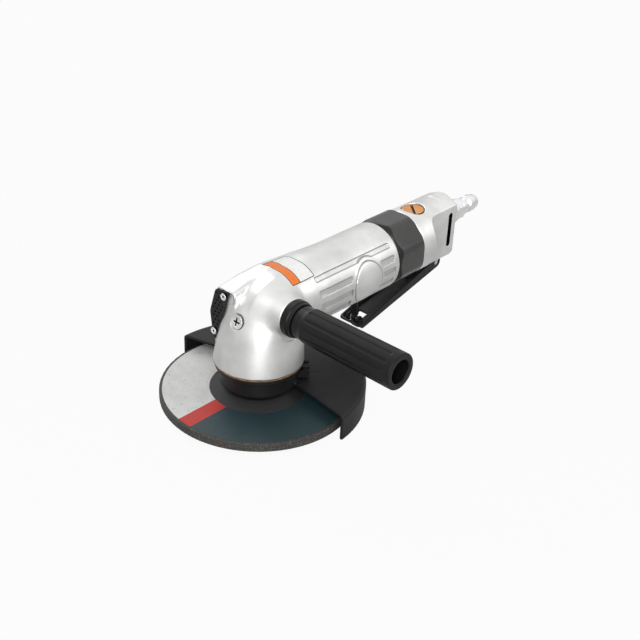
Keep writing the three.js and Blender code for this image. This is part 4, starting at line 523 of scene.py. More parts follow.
def housingShape(x, y, z):
    body, spigot = barrelShape(x, y, z)
    made = melt(headShape(x, y, z), body, barrelCasting.fillet)
    made = melt(made, ductShape(x, y, z), ductCasting.fillet)
    made = melt(made, bossShape(x, y, z), handleBoss.fillet)
    made = meet(made, headCasting.bottom - z, 0.3)
    h = handleBoss
    made = carve(made, rod(-y, np.hypot(x - h.x, z - h.z), h.seatRadius + h.clearance, h.seat, past), 0.6)
    return np.minimum(meet(made, x - barrelCasting.end, 0.8), spigot)


def housingCasting(x, y, z):
    up, side, across = plugFrame(x, y, z)
    recess = rod(up, np.hypot(side, across), plugRecess.radius, -plugRecess.depth, past)
    return carve(carve(housingShape(x, y, z), insideRooms(x, y, z), 0.3), recess, 0.5)


def paintGrooveShade():  # painted shade in the flutes, along their edges and round the medallion, where the grooves' shade falls
    b, calc = barrelCasting, castAluminium.calc
    x, y, z = castAluminium.place()
    turn = calc("ARCTAN2", calc("SUBTRACT", z, axisHeight), calc("MULTIPLY", y, -1))
    turn = calc("MULTIPLY", turn, math.degrees(1))
    dx = calc("SUBTRACT", x, b.medal[0])
    dz = calc("MULTIPLY", calc("SUBTRACT", z, b.medal[1]), b.medalSquash)
    disc = calc("SQRT", calc("ADD", calc("MULTIPLY", dx, dx), calc("MULTIPLY", dz, dz)))
    flutes = None
    for start, end, middle, half in b.flutes:
        along = castAluminium.beyond(x, (start + end) / 2, (end - start) / 2)
        around = castAluminium.beyond(turn, middle, half)
        reach = calc("MAXIMUM", along, calc("MULTIPLY", around, math.radians(b.radius)))
        flutes = reach if flutes is None else calc("MINIMUM", flutes, reach)
    flutes = calc("MAXIMUM", flutes, calc("SUBTRACT", b.rimRadius + b.rimGap, disc))
    edge = calc("LESS_THAN", calc("ABSOLUTE", flutes), b.edgeLine)
    ring = calc("LESS_THAN", castAluminium.beyond(disc, b.medalRadius + b.ringGap, b.ringLine), 0)
    lines = calc("MULTIPLY", calc("MAXIMUM", edge, ring), b.lineTone)
    floors = calc("MULTIPLY", calc("LESS_THAN", flutes, 0), b.floorTone)
    near = calc("LESS_THAN", y, 0)
    # painted shade over the lines and the flute floors, on the near side only
    castAluminium.over(calc("MULTIPLY", calc("MAXIMUM", lines, floors), near), b.grime)


paintGrooveShade()
fieldPiece("headAndBarrel", housingCasting, (-29, -28.8, 26.5), (118.2, 28.8, 83.4), (0.6, 0.9),
           "housing", "motor_housing", castAluminium)

# bare sticker over the casting, where the barrel meets the head
bareSticker = Sizes(
    front=13.5, back=33.2, near=49.5, far=119, above=0.09, below=0.06, bandBack=21.2,
    margin=0.12, line=0.5, orange=(0.88, 0.2, 0.01), white=(0.9, 0.9, 0.89), ink=0.012,
)


def stickerLook():
    g, s = newLook("stickerFilm"), bareSticker
    x, y, z = g.place()
    turn = g.calc("ARCTAN2", g.calc("SUBTRACT", z, axisHeight), g.calc("MULTIPLY", y, -1))

    def frameAt(inset):  # 1 inside a border set in by so many millimetres
        angle = inset / barrelCasting.frontRadius
        around = g.within(turn, math.radians(s.near) + angle, math.radians(s.far) - angle)
        return g.calc("MULTIPLY", g.within(x, s.front + inset, s.back - inset), around)

    field = g.mixed(g.calc("LESS_THAN", x, s.bandBack), s.white, s.orange)
    field = g.mixed(g.within(x, s.bandBack, s.bandBack + s.line), field, s.ink)
    field = g.mixed(frameAt(s.margin + s.line), s.ink, field)
    field = g.mixed(frameAt(s.margin), s.white, field)
    dust = g.noise(400, 4)
    g.shade({"Base Color": g.mixed(g.ramp(dust, (0.5, 0.0), (0.8, 0.2)), field, 0.35),
             "Roughness": g.ramp(dust, (0.3, 0.26), (0.7, 0.38))})
    g.bump(dust, 0.05, 0.0001)
    return g


def stickerSheet():  # a thin closed sheet that follows the casting
    s = bareSticker
    along, turns = np.meshgrid(np.linspace(s.front, s.back, 40),
                               np.radians(np.linspace(s.near, s.far, 56)), indexing="ij")
    rows, columns = along.shape
    x, a = along.ravel(), turns.ravel()
    reach = np.full(x.shape, 45.0)
    for _ in range(60):  # inwards from outside until the casting is met
        reach -= 0.7 * housingShape(x, -reach * np.cos(a), axisHeight + reach * np.sin(a))
    points = []
    for lift in (s.above, -s.below):
        r = reach + lift
        points.append(np.stack([x, -r * np.cos(a), axisHeight + r * np.sin(a)], 1))
    faces = []
    half = rows * columns
    for i in range(rows - 1):
        for j in range(columns - 1):
            first = i * columns + j
            corner = (first, first + 1, first + columns + 1, first + columns)
            faces += [corner, tuple(half + c for c in reversed(corner))]
    rim = [*range(columns), *range(2 * columns - 1, half, columns)]
    rim += [*range(half - 2, half - columns - 1, -1), *range(half - 2 * columns, 0, -columns)]
    for here, there in zip(rim, rim[1:] + rim[:1]):
        faces.append((there, here, half + here, half + there))
    piece = cleaned(meshPiece("bareSticker", np.concatenate(points), faces))
    dressed(piece, "housing", None, stickerLook())


stickerSheet()

# rear casting: round body, flat-sided tail, air inlet boss and lever boss
rearCasting = Sizes(
    noseFront=99.3, noseRadius=19.2, flangeFront=118.2, flangeRadius=20.9, neckFront=130.6,
    bodyFront=134.2, radius=22.8, back=181.5, bottomBack=177.5, heel=39, backBottom=43,
    tailHalf=13, stepStart=148, stepEnd=157, edge=1.1,
    bossHeight=65.5, bossHalf=8.8, bossTop=17.3, bossEndTop=10, bossFront=172, bossStart=180.5,
    bossEnd=190.7, bossFillet=3, pivot=(169, 36), pivotHalf=6.6, pivotRadius=4, lugRise=13, pinHole=2.2,
    pocket=((160, -9.3, 0), (173.8, 9.3, 40.8)),
    slotMiddle=174.8, slotHalf=1.95, slotBottom=48.5, slotTop=74, slotFloor=9,
    threadRadius=5.4, threadFront=178.5, inletRadius=3.6, wayHeight=47.6, wayRadius=3.4,
    noseHollow=15, noseFloor=101.7, slotTone=(0.03, 0.034, 0.03),
)
valveWell = Sizes(
    x=147, rimRadius=8.4, rimBottom=80.2, capRadius=7.9, capBottom=75.1, chamberRadius=6.6,
    chamberBottom=50.4, lowerRadius=5.4, lowerBottom=43.4, guideRadius=2.1,
)


def tailPlan():  # half of the tail from above: a hollow step down to the flat side
    r = rearCasting
    points = [(110, -30), (110, 25), (r.stepStart - 0.4, 25)]
    for t in np.linspace(0, 1, 9):
        points.append((r.stepStart + (r.stepEnd - r.stepStart) * t * t,
                       (1 - t) ** 2 * r.radius + (1 - (1 - t) ** 2) * r.tailHalf))
    return points + [(210, r.tailHalf), (210, -30)]


tailOutline = tailPlan()


def rearOutside(x, y, z):
    r = rearCasting
    around = np.hypot(y, z - axisHeight)
    body = rod(x, around, r.radius, r.bodyFront, r.back, r.edge)
    side = [(100, 10), (r.bottomBack, 10), (r.bottomBack, r.heel), (r.back, r.backBottom),
            (r.back, 100), (100, 100)]
    body = meet(meet(body, outline(x, np.abs(y), tailOutline), 0.9), outline(x, z, side), 1.2)
    dz = z - r.bossHeight
    share = np.clip((x - r.bossStart) / (r.bossEnd - r.bossStart), 0, 1)
    top = r.bossTop + (r.bossEndTop - r.bossTop) * share
    across = np.hypot(y, np.where(dz > 0, dz * r.bossHalf / top, dz)) - r.bossHalf
    boss = meet(across, np.maximum(x - r.bossEnd, r.bossFront - x), 0.8)
    body = melt(body, boss, r.bossFillet)
    low, high = r.pocket
    body = carve(body, slab(x, y, z, low, high), 0.5)
    px, pz = r.pivot
    lug = np.minimum(slab(x, y, z, (px - r.pivotRadius, -r.pivotHalf, pz),
                          (px + r.pivotRadius, r.pivotHalf, pz + r.lugRise), 0.3),
                     rod(y, np.hypot(x - px, z - pz), r.pivotRadius, -r.pivotHalf, r.pivotHalf, 0.3))
    return melt(body, lug, 1)


def airWay(x, y, z):  # from the valve to the motor, and the hollow in front of the nose
    r = rearCasting
    return np.minimum(rod(x, np.hypot(y, z - r.wayHeight), r.wayRadius, 0, valveWell.x),
                      rod(x, np.hypot(y, z - axisHeight), r.noseHollow, 0, r.noseFloor))


def rearRooms(x, y, z):
    r, v = rearCasting, valveWell
    well, inlet = np.hypot(x - v.x, y), np.hypot(y, z - r.bossHeight)
    rise = np.abs(z - (r.slotBottom + r.slotTop) / 2) - (r.slotTop - r.slotBottom) / 2 + r.slotHalf
    slot = np.hypot(x - r.slotMiddle, np.maximum(rise, 0)) - r.slotHalf
    names = ("rim", "cap", "chamber", "lower")
    rooms = [rod(z, well, v[name + "Radius"], v[name + "Bottom"], past) for name in names]
    rooms += [well - v.guideRadius, np.maximum(slot, r.slotFloor - np.abs(y)), airWay(x, y, z),
              rod(x, inlet, r.threadRadius, r.threadFront, past), rod(x, inlet, r.inletRadius, v.x, past),
              np.hypot(x - r.pivot[0], z - r.pivot[1]) - r.pinHole]
    return np.minimum.reduce(rooms)


def rearShape(x, y, z):
    r = rearCasting
    around = np.hypot(y, z - axisHeight)
    made = carve(rearOutside(x, y, z), rearRooms(x, y, z), 0.35)
    nose = np.minimum(rod(x, around, r.noseRadius, r.noseFront, r.bodyFront + 1, 0.3),
                      rod(x, around, r.flangeRadius, r.flangeFront, r.neckFront, 0.3))
    return np.minimum(made, np.maximum(nose, -airWay(x, y, z)))


def darkenSlots():  # painted shade on the walls inside the two upright slots
    r, g = rearCasting, rearAluminium
    x, y, z = g.place()
    reach = r.slotHalf + 0.1
    inside = g.within(x, r.slotMiddle - reach, r.slotMiddle + reach)
    level = g.within(z, r.slotBottom - 0.1, r.slotTop + 0.1)
    deep = g.calc("LESS_THAN", g.calc("ABSOLUTE", y), r.tailHalf - 0.15)
    # painted shade colour over the slots' inner walls
    g.over(g.calc("MULTIPLY", g.calc("MULTIPLY", inside, level), deep), r.slotTone)


darkenSlots()
fieldPiece("rearCastingBody", rearShape, (99.1, -23, 31.8), (190.9, 23, 83), (0.55, 0.9),
           "housing", "rear_housing", rearAluminium)

# eight-sided clamp ring between barrel and rear casting
clampRing = Sizes(
    front=108.2, back=134, radius=24.1, apothem=22.9, chamfer=3.2, chamferRadius=21.8,
    backEdge=0.8, bore=21.2, lipFront=130.8, lipBore=19.4, chamferTone=0.006, chamferSlope=-0.3,
)


def ringShape(x, y, z):
    c = clampRing
    around = np.hypot(y, z - axisHeight)
    corner = c.apothem / math.cos(math.pi / 8)
    turns = [math.radians(22.5 + 45 * i) for i in range(8)]
    flats = planes(y, z - axisHeight, [(corner * math.cos(a), corner * math.sin(a)) for a in turns], 0.3)
    front, back = c.front, c.back
    body = outline(x, around, [(front, core), (front, c.chamferRadius), (front + c.chamfer, c.radius),
                               (back - c.backEdge, c.radius), (back, c.radius - c.backEdge), (back, core)])
    hole = outline(x, around, [(0, core), (0, c.bore), (c.lipFront, c.bore), (c.lipFront, c.lipBore),
                               (past, c.lipBore), (past, core)])
    return carve(meet(flats, body, 0.35), hole, 0.3)


# faces of the ring that look forward, as on its front chamfer, are made darker than its flats
normal = bakedEnamel.node("NewGeometry").outputs["Normal"]
split = bakedEnamel.node("SeparateXYZ", (("Vector", normal),))
facing = bakedEnamel.calc("LESS_THAN", split.outputs["X"], clampRing.chamferSlope)
bakedEnamel.over(facing, clampRing.chamferTone)
fieldPiece("clampRingBody", ringShape, (108, -24.2, 35.8), (134.2, 24.2, 84.2), (0.5, 0.8),
           "housing", "clamp_ring", bakedEnamel)

# half guard: pressed sheet with a skirt, a collar and two clamp ears
guardSheet = Sizes(
    inner=22.3, collar=24.6, low=11.2, high=13.2, collarTop=21.8, radius=68.5, sheet=2.0,
    skirtBottom=-4.4, fold=2.6, front=9.4, inset=22.73, near=(3.9, -68.4), far=(-2.2, 68.47),
    earAngle=-42, earReach=32.1, earHalf=4.1, gapHalf=1.5, boltReach=28.35, boltHeight=17.5,
    boltHole=2.2, middle=10, collarMelt=1.2, gapStart=15, gapEnd=40,
)


def guardProfile():  # half section of plate and skirt, with a rolled corner
    g = guardSheet
    inner = g.fold - g.sheet
    bend, level = g.radius - g.fold, g.high - g.fold
    points = [(g.middle, g.high), (g.middle, g.low)]
    for t in np.linspace(0, math.pi / 2, 5):
        points.append((bend + inner * math.sin(t), level + inner * math.cos(t)))
    points += [(g.radius - g.sheet, g.skirtBottom), (g.radius, g.skirtBottom)]
    for t in np.linspace(math.pi / 2, 0, 9):
        points.append((bend + g.fold * math.sin(t), level + g.fold * math.cos(t)))
    return points


guardLine = guardProfile()


def guardPlan():
    g = guardSheet
    near = (g.front + (g.near[0] - g.front) * 2, -g.inset + (g.near[1] + g.inset) * 2)
    far = (g.front + (g.far[0] - g.front) * 2, g.inset + (g.far[1] - g.inset) * 2)
    return [(g.front, -g.inset), near, (past, -past), (past, past), far, (g.front, g.inset)]


guardOutline = guardPlan()


def guardShape(x, y, z):
    g = guardSheet
    across = np.hypot(x, y)
    plate = meet(outline(across, z, guardLine), outline(x, y, guardOutline), 0.5)
    collar = outline(across, z, [(0, g.low), (g.collar, g.low), (g.collar, g.collarTop),
                                 (0, g.collarTop)])
    made = melt(plate, collar, g.collarMelt)
    a = math.radians(g.earAngle)
    u, v = x * math.cos(a) + y * math.sin(a), y * math.cos(a) - x * math.sin(a)
    ears = slab(u, v, z, (g.collar - g.collarMelt, -g.earHalf, g.low),
                (g.earReach, g.earHalf, g.collarTop), 0.8)
    made = melt(made, ears, 0.6)
    made = carve(made, across - g.inner, 0.3)
    made = carve(made, slab(u, v, z, (g.gapStart, -g.gapHalf, g.high), (g.gapEnd, g.gapHalf, past)), 0.3)
    return carve(made, np.hypot(u - g.boltReach, z - g.boltHeight) - g.boltHole, 0.2)


fieldPiece("guardSheetBody", guardShape, (-24.7, -68.6, -4.5), (68.6, 68.6, 21.9), (0.65, 1.0),
           "guard", "guard", guardPaint)

# side handle: grip with lengthwise grooves, open at its end, and the flange at its root
sideHandle = Sizes(
    middle=(4, 64), start=-32.1, end=-108.1, radius=11.4, neck=10.1, bore=7.4, floor=-46.1,
    neckFlare=0.3, neckLength=5.5, ribRise=0.6, ribEdge=0.5, taper=0.4, ribStart=-40, ribEnd=-103.5,
    grooves=12, grooveDepth=0.5, grooveShare=0.16, grooveWall=0.06, grooveRun=1.2, grooveFrom=9.5,
    flange=(-25.0, -31.9), flangeRadius=11.9, flangeStep=11.1, stepFront=2.6, stepBack=1.8, hole=4.2,
)


def gripGroove(angle, radius, place):
    s = sideHandle
    if radius < s.grooveFrom or place > s.ribStart or place < s.ribEnd:
        return radius
    turn = (angle / (2 * math.pi) * s.grooves) % 1
    wall = min(1, max(0, (s.grooveShare - abs(turn - 0.5)) / s.grooveWall + 0.5))
    ends = min(1, (s.ribStart - place) / s.grooveRun, (place - s.ribEnd) / s.grooveRun)
    return radius - s.grooveDepth * wall * ends


def gripSection():
    s = sideHandle
    outer = [(s.neck, s.start), (s.neck + s.neckFlare, s.start - s.neckLength),
             (s.radius - s.ribEdge, s.ribStart + s.ribRise)]
    for place in np.linspace(s.ribStart, s.ribEnd, 21):
        share = (s.ribStart - place) / (s.ribStart - s.ribEnd)
        outer.append((s.radius - s.taper * (1 - share), place))
        if place in (s.ribStart, s.ribEnd):
            step = -s.grooveRun if place == s.ribStart else s.grooveRun
            outer.append((outer[-1][0], place + step))
    outer = sorted(outer, key=lambda p: -p[1])
    return [(s.hole, s.floor), (s.hole, s.start)] + outer + [
        (s.radius, s.end), (s.bore, s.end), (s.bore, s.floor)]


turnedPiece("sideGrip", "y", gripSection(), gripPlastic, "housing", "handle_grip",
            middle=sideHandle.middle, steps=240, edge=0.9, wave=gripGroove)
s = sideHandle
flangeFront, flangeBack = s.flange
turnedPiece("handleRootFlange", "y", [
    (s.hole, flangeFront), (s.flangeRadius, flangeFront), (s.flangeRadius, flangeBack + s.stepFront),
    (s.flangeStep, flangeBack + s.stepBack), (s.flangeStep, flangeBack), (s.hole, flangeBack),
], gripPlastic, "housing", "handle_flange", middle=s.middle, edge=0.5)

# bearing cap and gasket under the head
bearingCap = Sizes(
    bore=10, bottom=11.5, neck=22, rimBottom=22.4, rim=27.6, rimTop=25.6, spigot=19.3,
    spigotTop=36.6, seat=17.5, seatFloor=23.8,
)
headGasket = Sizes(inner=19.5, outer=28.4, bottom=25.8, top=26.4)
c, k = bearingCap, headGasket
turnedPiece("capBody", "z", [
    (c.bore, c.bottom), (c.neck, c.bottom), (c.neck, c.rimBottom), (c.rim, c.rimBottom),
    (c.rim, c.rimTop), (c.spigot, c.rimTop), (c.spigot, c.spigotTop), (c.seat, c.spigotTop),
    (c.seat, c.seatFloor), (c.bore, c.seatFloor),
], blackenedSteel, "housing", "bearing_cap", edge=0.6)
turnedPiece("gasketRing", "z", [
    (k.inner, k.bottom), (k.outer, k.bottom), (k.outer, k.top), (k.inner, k.top),
], gasketCard, "housing", "head_gasket", edge=0.1)

# grinding disc with its paper label, and the flange over its middle
grindingDisc = Sizes(
    rim=62.5, top=4.5, bottom=-1, slope=29.5, centre=21.5, bore=11.1, seat=3.2, back=7.7,
    labelInner=30.9, labelOuter=60.6, labelThickness=0.12, grain=0.3, waves=(211, 87, 31),
    rimPlaces=(0.8, 2.6),
)


def grittyRim(angle, radius, place):
    d = grindingDisc
    if radius < d.rim - 1:
        return radius
    fine, middle, coarse = (angle * count for count in d.waves)
    return radius - d.grain * abs(math.sin(fine) * math.sin(middle + place) * math.sin(coarse + 2 * place))


def discLook():  # coarse grit at the rim, smooth dark hub
    g = newLook("bondedGrit")
    x, y, z = g.place()
    radius = g.calc("SQRT", g.calc("ADD", g.calc("MULTIPLY", x, x), g.calc("MULTIPLY", y, y)))
    grain = g.noise(1000, 4, rough=0.75)
    gritty = g.ramp(grain, (0.32, (0.008, 0.007, 0.006)), (0.52, (0.042, 0.038, 0.034)),
                    (0.68, (0.13, 0.12, 0.105)), (0.78, (0.42, 0.4, 0.36)))
    hub = g.ramp(grain, (0.35, 0.009), (0.65, 0.018), (0.8, 0.06))
    g.shade({"Base Color": g.mixed(g.calc("GREATER_THAN", radius, grindingDisc.slope + 1), hub, gritty),
             "Roughness": g.ramp(grain, (0.3, 0.5), (0.7, 0.8))})
    g.bump(grain, 0.6, 0.0003)
    return g


bondedGrit = discLook()
d = grindingDisc
turnedPiece("abrasiveDisc", "z", [
    (d.bore, d.seat), (d.centre, d.seat), (d.slope, d.bottom), (d.rim, d.bottom),
    *((d.rim, place) for place in d.rimPlaces), (d.rim, d.top), (d.slope + 1, d.top),
    (d.centre, d.back), (d.bore, d.back),
], bondedGrit, "spindle", "grinding_disc", steps=360, edge=0.5, wave=grittyRim)
paperLabel = Sizes(
    bandLow=-3.4, bandHigh=7.3, grey=(0.66, 0.66, 0.65), red=(0.5, 0.028, 0.02),
    dark=(0.018, 0.042, 0.05),
)


def labelLook():  # plain fields: grey, a red band of even width, dark teal; worn through in specks
    g, p = newLook("labelPaper"), paperLabel
    y = g.place()[1]
    field = g.mixed(g.calc("GREATER_THAN", y, p.bandHigh), p.dark, p.grey)
    field = g.mixed(g.within(y, p.bandLow, p.bandHigh), field, p.red)
    field = g.mixed(g.ramp(g.noise(90, 5), (0.4, 0.0), (0.75, 0.16)), field, 0.02)
    specks = g.noise(780, 5, rough=0.72)
    g.shade({"Base Color": g.mixed(g.ramp(specks, (0.61, 0.0), (0.66, 0.7)), field, (0.05, 0.047, 0.042)),
             "Roughness": g.ramp(specks, (0.3, 0.36), (0.7, 0.55)), "Specular IOR Level": 0.4})
    g.bump(specks, 0.2, 0.0001)
    return g


labelPaper = labelLook()
turnedPiece("discLabel", "z", [
    (d.labelInner, d.top), (d.labelOuter, d.top), (d.labelOuter, d.top + d.labelThickness),
    (d.labelInner, d.top + d.labelThickness),
], labelPaper, "spindle", None, steps=256, edge=0.03)
discFlange = Sizes(bore=7.2, hub=10.9, bottom=4.7, step=7.9, radius=20, top=10.9, chamfer=0.8)
f = discFlange
turnedPiece("clampingFlange", "z", [
    (f.bore, f.bottom), (f.hub, f.bottom), (f.hub, f.step), (f.radius, f.step),
    (f.radius, f.top - f.chamfer), (f.radius - f.chamfer, f.top), (f.bore, f.top),
], blackenedSteel, "spindle", "inner_flange", edge=0.4)

# throttle lever: folded channel with a paddle at its front, and the catch in its slot
throttleLever = Sizes(
    pivot=(169, 36), droop=math.radians(-12.5), length=84.5, lug=4.2, sheet=1.8, frontHalf=10, backHalf=9,
    wall=((-5.1, 3.15), (-25.4, 2.1), (-46.5, 1.5), (-67.6, 0.4), (-84.5, -1.26)),
    slot=(-82.7, -69.7), slotHalf=3.6, floorEnd=-6.6, floorHalf=7.2, tail=7, corner=3.2, pinHole=2.2,
    eye=(-79.5, -0.8), eyeRadius=2.6, eyeHole=1.3, eyeReach=8, earOuter=5.2, earFoot=0.9,
)


def leverPlan(u, y, inset):
    t = throttleLever
    front, back = t.frontHalf - inset, t.backHalf - inset
    end = -t.length + inset
    return planes(u, y, [(end, -front), (t.tail, -back), (t.tail, back), (end, front)], t.corner)


def leverShape(x, y, z):
    t = throttleLever
    u, w = tilted(x, z, t.pivot, t.droop)
    floor = -t.lug
    side = [(-t.length, floor + t.sheet), (-t.length + 2, floor), (0, floor)]
    turns = np.linspace(-math.pi / 2, math.pi / 2, 13)[1:]
    side += [(t.lug * math.cos(a), t.lug * math.sin(a)) for a in turns]
    side += list(t.wall)
    outside = meet(leverPlan(u, y, 0), outline(u, w, side), 0.5)
    inside = np.maximum(leverPlan(u, y, t.sheet), floor + t.sheet - w)
    for start, end, half in ((t.floorEnd, past, t.floorHalf), (*t.slot, t.slotHalf)):
        inside = np.minimum(inside, slab(u, y, w, (start, -half, -past), (end, half, past)))
    made = carve(outside, inside, 0.4)
    eyeU, eyeW = t.eye
    middle = (t.slotHalf + t.earOuter) / 2
    thick = (t.earOuter - t.slotHalf) / 2
    across = np.abs(y) - middle
    low, high = (eyeU - t.eyeRadius, -thick, floor + t.earFoot), (eyeU + t.eyeRadius, thick, eyeW)
    ears = np.minimum(slab(u, across, w, low, high, 0.2),
                      rod(across, np.hypot(u - eyeU, w - eyeW), t.eyeRadius, -thick, thick, 0.2))
    made = melt(made, ears, 0.4)
    made = carve(made, np.hypot(u, w) - t.pinHole, 0.2)
    return carve(made, rod(y, np.hypot(u - eyeU, w - eyeW), t.eyeHole, -t.eyeReach, t.eyeReach), 0.15)


fieldPiece("leverChannel", leverShape, (85.4, -10.1, 13.4), (174.2, 10.1, 41.2), (0.45, 0.8),
           "lever", "throttle_lever", blackenedSteel)

lockCatch = Sizes(
    middle=(91.56, 18.01), half=2.9, topHalf=1.9, thick=1.2, shoulder=2.8, tip=12,
    eyeHalf=1.3, eyeRadius=2.5, hole=1.3, tail=((-1.2, -2.8), (1.2, -7.5), (3.6, -7.5), (1.2, -2.8)),
)


def catchShape(x, y, z):
    c = lockCatch
    u, w = x - c.middle[0], z - c.middle[1]
    share = np.clip((w - c.shoulder) / (c.tip - c.shoulder), 0, 1)
    half = c.half + (c.topHalf - c.half) * share
    tip = np.maximum.reduce([np.abs(u) - c.thick, np.abs(y) - half, c.shoulder - w, w - c.tip])
    neck = slab(u, y, w, (-c.thick, -c.eyeHalf, -4), (c.thick, c.eyeHalf, 4))
    eye = rod(y, np.hypot(u, w), c.eyeRadius, -c.eyeHalf, c.eyeHalf, 0.2)
    tail = np.maximum(outline(u, w, list(c.tail)), np.abs(y) - c.half)
    made = melt(melt(np.minimum(tip, neck), eye, 0.4), tail, 0.4)
    return carve(made, np.hypot(u, w) - c.hole, 0.15)


fieldPiece("catchTab", catchShape, (88.9, -3.1, 10.3), (95.4, 3.1, 30.2), (0.3, 0.3),
           "catch", "lock_off_catch", blackenedSteel)

# air inlet: six-sided adapter with a collar, and the hose plug
inletAdapter = Sizes(
    height=65.5, front=190.9, collarBack=193.9, back=200.5, collar=8.2, flats=14,
    bore=4.1, boreFront=194.3, innerBore=2.6, shank=5.2, shankFront=178.7,
)


def adapterShape(x, y, z):
    a = inletAdapter
    dz = z - a.height
    around = np.hypot(y, dz)
    corner = a.flats / math.sqrt(3)
    turns = [math.radians(60 * i) for i in range(6)]
    hexagon = planes(dz, -y, [(corner * math.cos(t), corner * math.sin(t)) for t in turns], 0.2)
    shoulder = outline(x, around, [(a.front, core), (a.front, corner), (a.back - 1, corner),
                                   (a.back, corner - 1), (a.back, core)])
    body = meet(meet(hexagon, shoulder, 0.2), a.collarBack - 1 - x, 0.2)
    collar = rod(x, around, a.collar, a.front, a.collarBack, 0.5)
    shank = rod(x, around, a.shank, a.shankFront, a.back - 2, 0.3)
    made = np.minimum(np.minimum(body, collar), shank)
    bore = np.minimum(rod(x, around, a.bore, a.boreFront, past), rod(x, around, a.innerBore, 0, past))
    return carve(made, bore, 0.2)


fieldPiece("inletHexagon", adapterShape, (178.6, -8.3, 57.2), (200.6, 8.3, 73.8), (0.35, 0.35),
           "housing", "inlet_adapter", brightSteel)
nipple = Sizes(
    bore=2.6, shank=3.9, shankFront=194.7, radii=(5.2, 6.2, 6.2, 4.4, 4.4, 6.2, 6, 5.2, 4.4),
    places=(200.7, 201.7, 205, 205.9, 208.8, 210, 214.7, 218.9, 220.1),
)
n = nipple
turnedPiece("hosePlug", "x", [
    (n.bore, n.shankFront), (n.shank, n.shankFront), (n.shank, n.places[0]),
    *zip(n.radii, n.places), (n.bore, n.places[-1]),
], brightSteel, "housing", "inlet_plug", middle=(0, inletAdapter.height), edge=0.5)

# valve cap with its screwdriver slot
valveCap = Sizes(
    x=147, radius=7.7, bottom=75.3, top=81.9, slotHalf=0.9, slotDepth=1.9, turn=math.radians(41.3),
    shade=0.55, slotTone=(0.025, 0.014, 0.008),
)


def capShape(x, y, z):
    c = valveCap
    dx = x - c.x
    across = dx * math.cos(c.turn) - y * math.sin(c.turn)
    body = rod(z, np.hypot(dx, y), c.radius, c.bottom, c.top, 0.5)
    slot = slab(across, y * 0, z, (-c.slotHalf, -past, c.top - c.slotDepth), (c.slotHalf, past, past))
    return carve(body, slot, 0.15)


# painted shade in the cap's slot, below a set depth under its top
deep = plugBrass.calc("LESS_THAN", plugBrass.place()[2], valveCap.top - valveCap.shade)
plugBrass.over(deep, valveCap.slotTone)
fieldPiece("slottedCap", capShape, (139, -7.9, 75.1), (155, 7.9, 82.1), (0.3, 0.3),
           "housing", "valve_cap", plugBrass)

# cross-slotted screws
frontScrew = Sizes(
    shade=0.5, radius=4.7, low=-1.0, top=0.6, shank=3, shankEnd=-3.2, slot=0.62, slotReach=3.0,
)
plateScrews = Sizes(
    shade=0.42, radius=2.3, low=17.4, top=18.7, shank=1.4, shankEnd=8, slot=0.36, slotReach=1.5,
    places={"exhaust_screw_upper": (12.6, 70.9), "exhaust_screw_lower": (21.4, 43.4)},
    diagonal=0.7071,  # turns the cross by 45 degrees
)
crossRecess = Sizes(crown=0.06, taper=0.35, floor=0.3, tone=0.03)


def crossScrew(up, side, across, s):  # shank, and a domed head with a cross recess, along its own axis
    around, tall, r = np.hypot(side, across), s.top - s.low, crossRecess
    head = rod(up, around, s.radius, s.low, s.top, 0.35)
    head = np.maximum(head, up - s.top + r.crown * around ** 2 / s.radius)
    reach = s.slotReach * (1 - r.taper * np.clip((s.top - up) / tall, 0, 1))
    cross = np.minimum(np.maximum(np.abs(side) - s.slot, np.abs(across) - reach),
                       np.maximum(np.abs(across) - s.slot, np.abs(side) - reach))
    head = carve(head, np.maximum(cross, s.low + tall * r.floor - up), 0.12)
    return np.minimum(head, rod(up, around, s.shank, s.shankEnd, s.low + 0.3, 0.2))


def screwLook(name, axis, limit):  # bright plating, with painted shade in the cross recess, below a height along the screw's axis
    g = finish(name, *platingTones)
    x, y, z = (g.calc("MULTIPLY", value, share) for value, share in zip(g.place(), axis))
    g.over(g.calc("LESS_THAN", g.calc("ADD", g.calc("ADD", x, y), z), limit), crossRecess.tone)
    return g


def plugScrewShape(x, y, z):
    return crossScrew(*plugFrame(x, y, z), frontScrew)


tilt = plugRecess.tilt
seatUp = -float(plugFrame(0.0, 0.0, 0.0)[0])  # height of the screw's seat along its axis
plugScrewSteel = screwLook("plugScrewSteel", (-math.cos(tilt), 0, math.sin(tilt)),
                           seatUp + frontScrew.top - frontScrew.shade)
fieldPiece("frontGreaseScrew", plugScrewShape, (-26.5, -5, 54), (-19.5, 5, 64.5), (0.2, 0.2),
           "housing", "front_plug_screw", plugScrewSteel)
p, reach = plateScrews, plateScrews.radius + 0.2
plateScrewSteel = screwLook("plateScrewSteel", (-1, 0, 0), p.top - p.shade)
for node, (screwY, screwZ) in p.places.items():
    def screwShape(x, y, z, middle=(screwY, screwZ)):
        dy, dz = y - middle[0], z - middle[1]
        return crossScrew(-x, (dy + dz) * p.diagonal, (dy - dz) * p.diagonal, p)
    fieldPiece("screwOf_" + node, screwShape, (-18.9, screwY - reach, screwZ - reach),
               (-7.8, screwY + reach, screwZ + reach), (0.2, 0.2),
               "housing", node, plateScrewSteel)
print("pieces made")

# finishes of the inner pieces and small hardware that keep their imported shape, by slot
slotLooks = {
    "steel": turnedSteel, "black_steel": blackenedSteel, "satin_black": guardPaint,
    "black_plastic": gripPlastic, "brass": plugBrass, "fibre": fibreSheet,
}
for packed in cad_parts.values():
    for materialSlot in packed.material_slots:
        look = slotLooks.get(materialSlot.material.name)
        if look:
            materialSlot.material = look.material

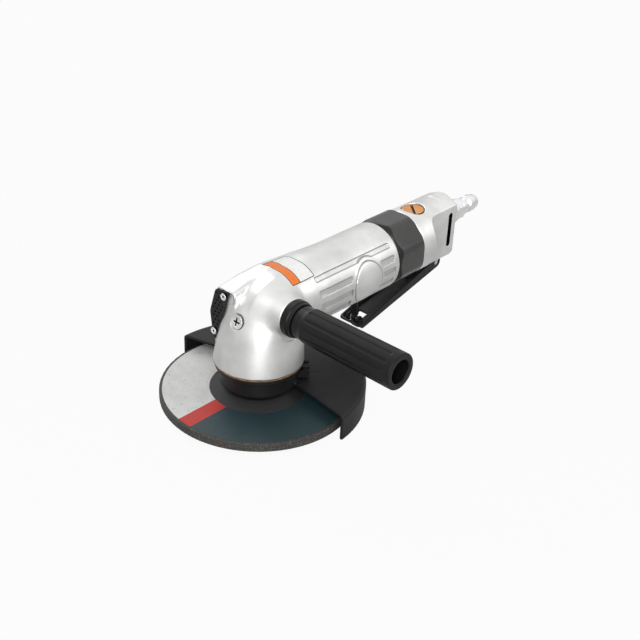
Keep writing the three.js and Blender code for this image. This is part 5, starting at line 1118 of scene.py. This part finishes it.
# studio: pale floor, soft lamps and a bright world
studio = Sizes(
    floor=-4.45, size=6.0, floorShade=0.6, floorGlow=0.93, floorShine=0.15,
    mirrorSide=0.6, mirrorTop=1.0,
    lamps=(  # place in metres, width in metres, power in watts
        ((-0.75, -0.55, 0.95), 0.7, 4.8), ((0.75, -1.0, 0.8), 0.7, 2.2), ((0.25, 1.1, 0.9), 0.9, 4.4),
        ((-0.72, -0.72, 0.3), 0.45, 3.8),
    ),
    aim=(0.07, 0, 0.05), worldTop=0.6, worldSide=0.3,
)


def makeFloor():
    half = studio.size / 2
    mesh = bpy.data.meshes.new("floor")
    corners = [(-half, -half, 0), (half, -half, 0), (half, half, 0), (-half, half, 0)]
    mesh.from_pydata(corners, [], [(0, 1, 2, 3)])
    floor = bpy.data.objects.new("floor", mesh)
    floor.location.z = studio.floor * metre
    bpy.context.scene.collection.objects.link(floor)
    g = newLook("floorPaper")
    g.shade({"Base Color": studio.floorShade, "Roughness": 0.9})
    share = g.seen(studio.floorGlow, studio.floorShine)
    glow = g.node("Emission").outputs["Emission"]
    mix = g.node("MixShader", ((0, share), (1, g.shader.outputs["BSDF"]), (2, glow)))
    g.put(g.nodes["Material Output"].inputs["Surface"], mix.outputs["Shader"])
    mesh.materials.append(g.material)


def makeWorld():  # soft light, a paler sky in mirrored rays, and plain white behind the object
    g = Graph(bpy.data.worlds.new("studioWorld"))
    height = g.node("SeparateXYZ", (("Vector", g.node("TexCoord").outputs["Generated"]),)).outputs["Z"]
    light = g.ramp(height, (0.0, studio.worldSide), (0.9, studio.worldTop))
    mirrored = g.ramp(height, (0.0, studio.mirrorSide), (0.5, studio.mirrorTop))
    shown = g.mixed(g.seen(1.0, 0.0), g.mixed(g.seen(0.0, 1.0), light, mirrored), 1.0)
    g.put(g.nodes["Background"].inputs["Color"], shown)
    bpy.context.scene.world = g.material


def makeLamps():
    for number, (place, width, power) in enumerate(studio.lamps):
        data = bpy.data.lights.new(f"softLamp{number + 1}", "AREA")
        data.size, data.energy = width, power
        lamp = bpy.data.objects.new(data.name, data)
        lamp.location = place
        lamp.rotation_euler = (Vector(place) - Vector(studio.aim)).to_track_quat("Z", "Y").to_euler()
        bpy.context.scene.collection.objects.link(lamp)


makeFloor()
makeWorld()
makeLamps()
bpy.context.scene.view_settings.view_transform = "Standard"
print("studio made")
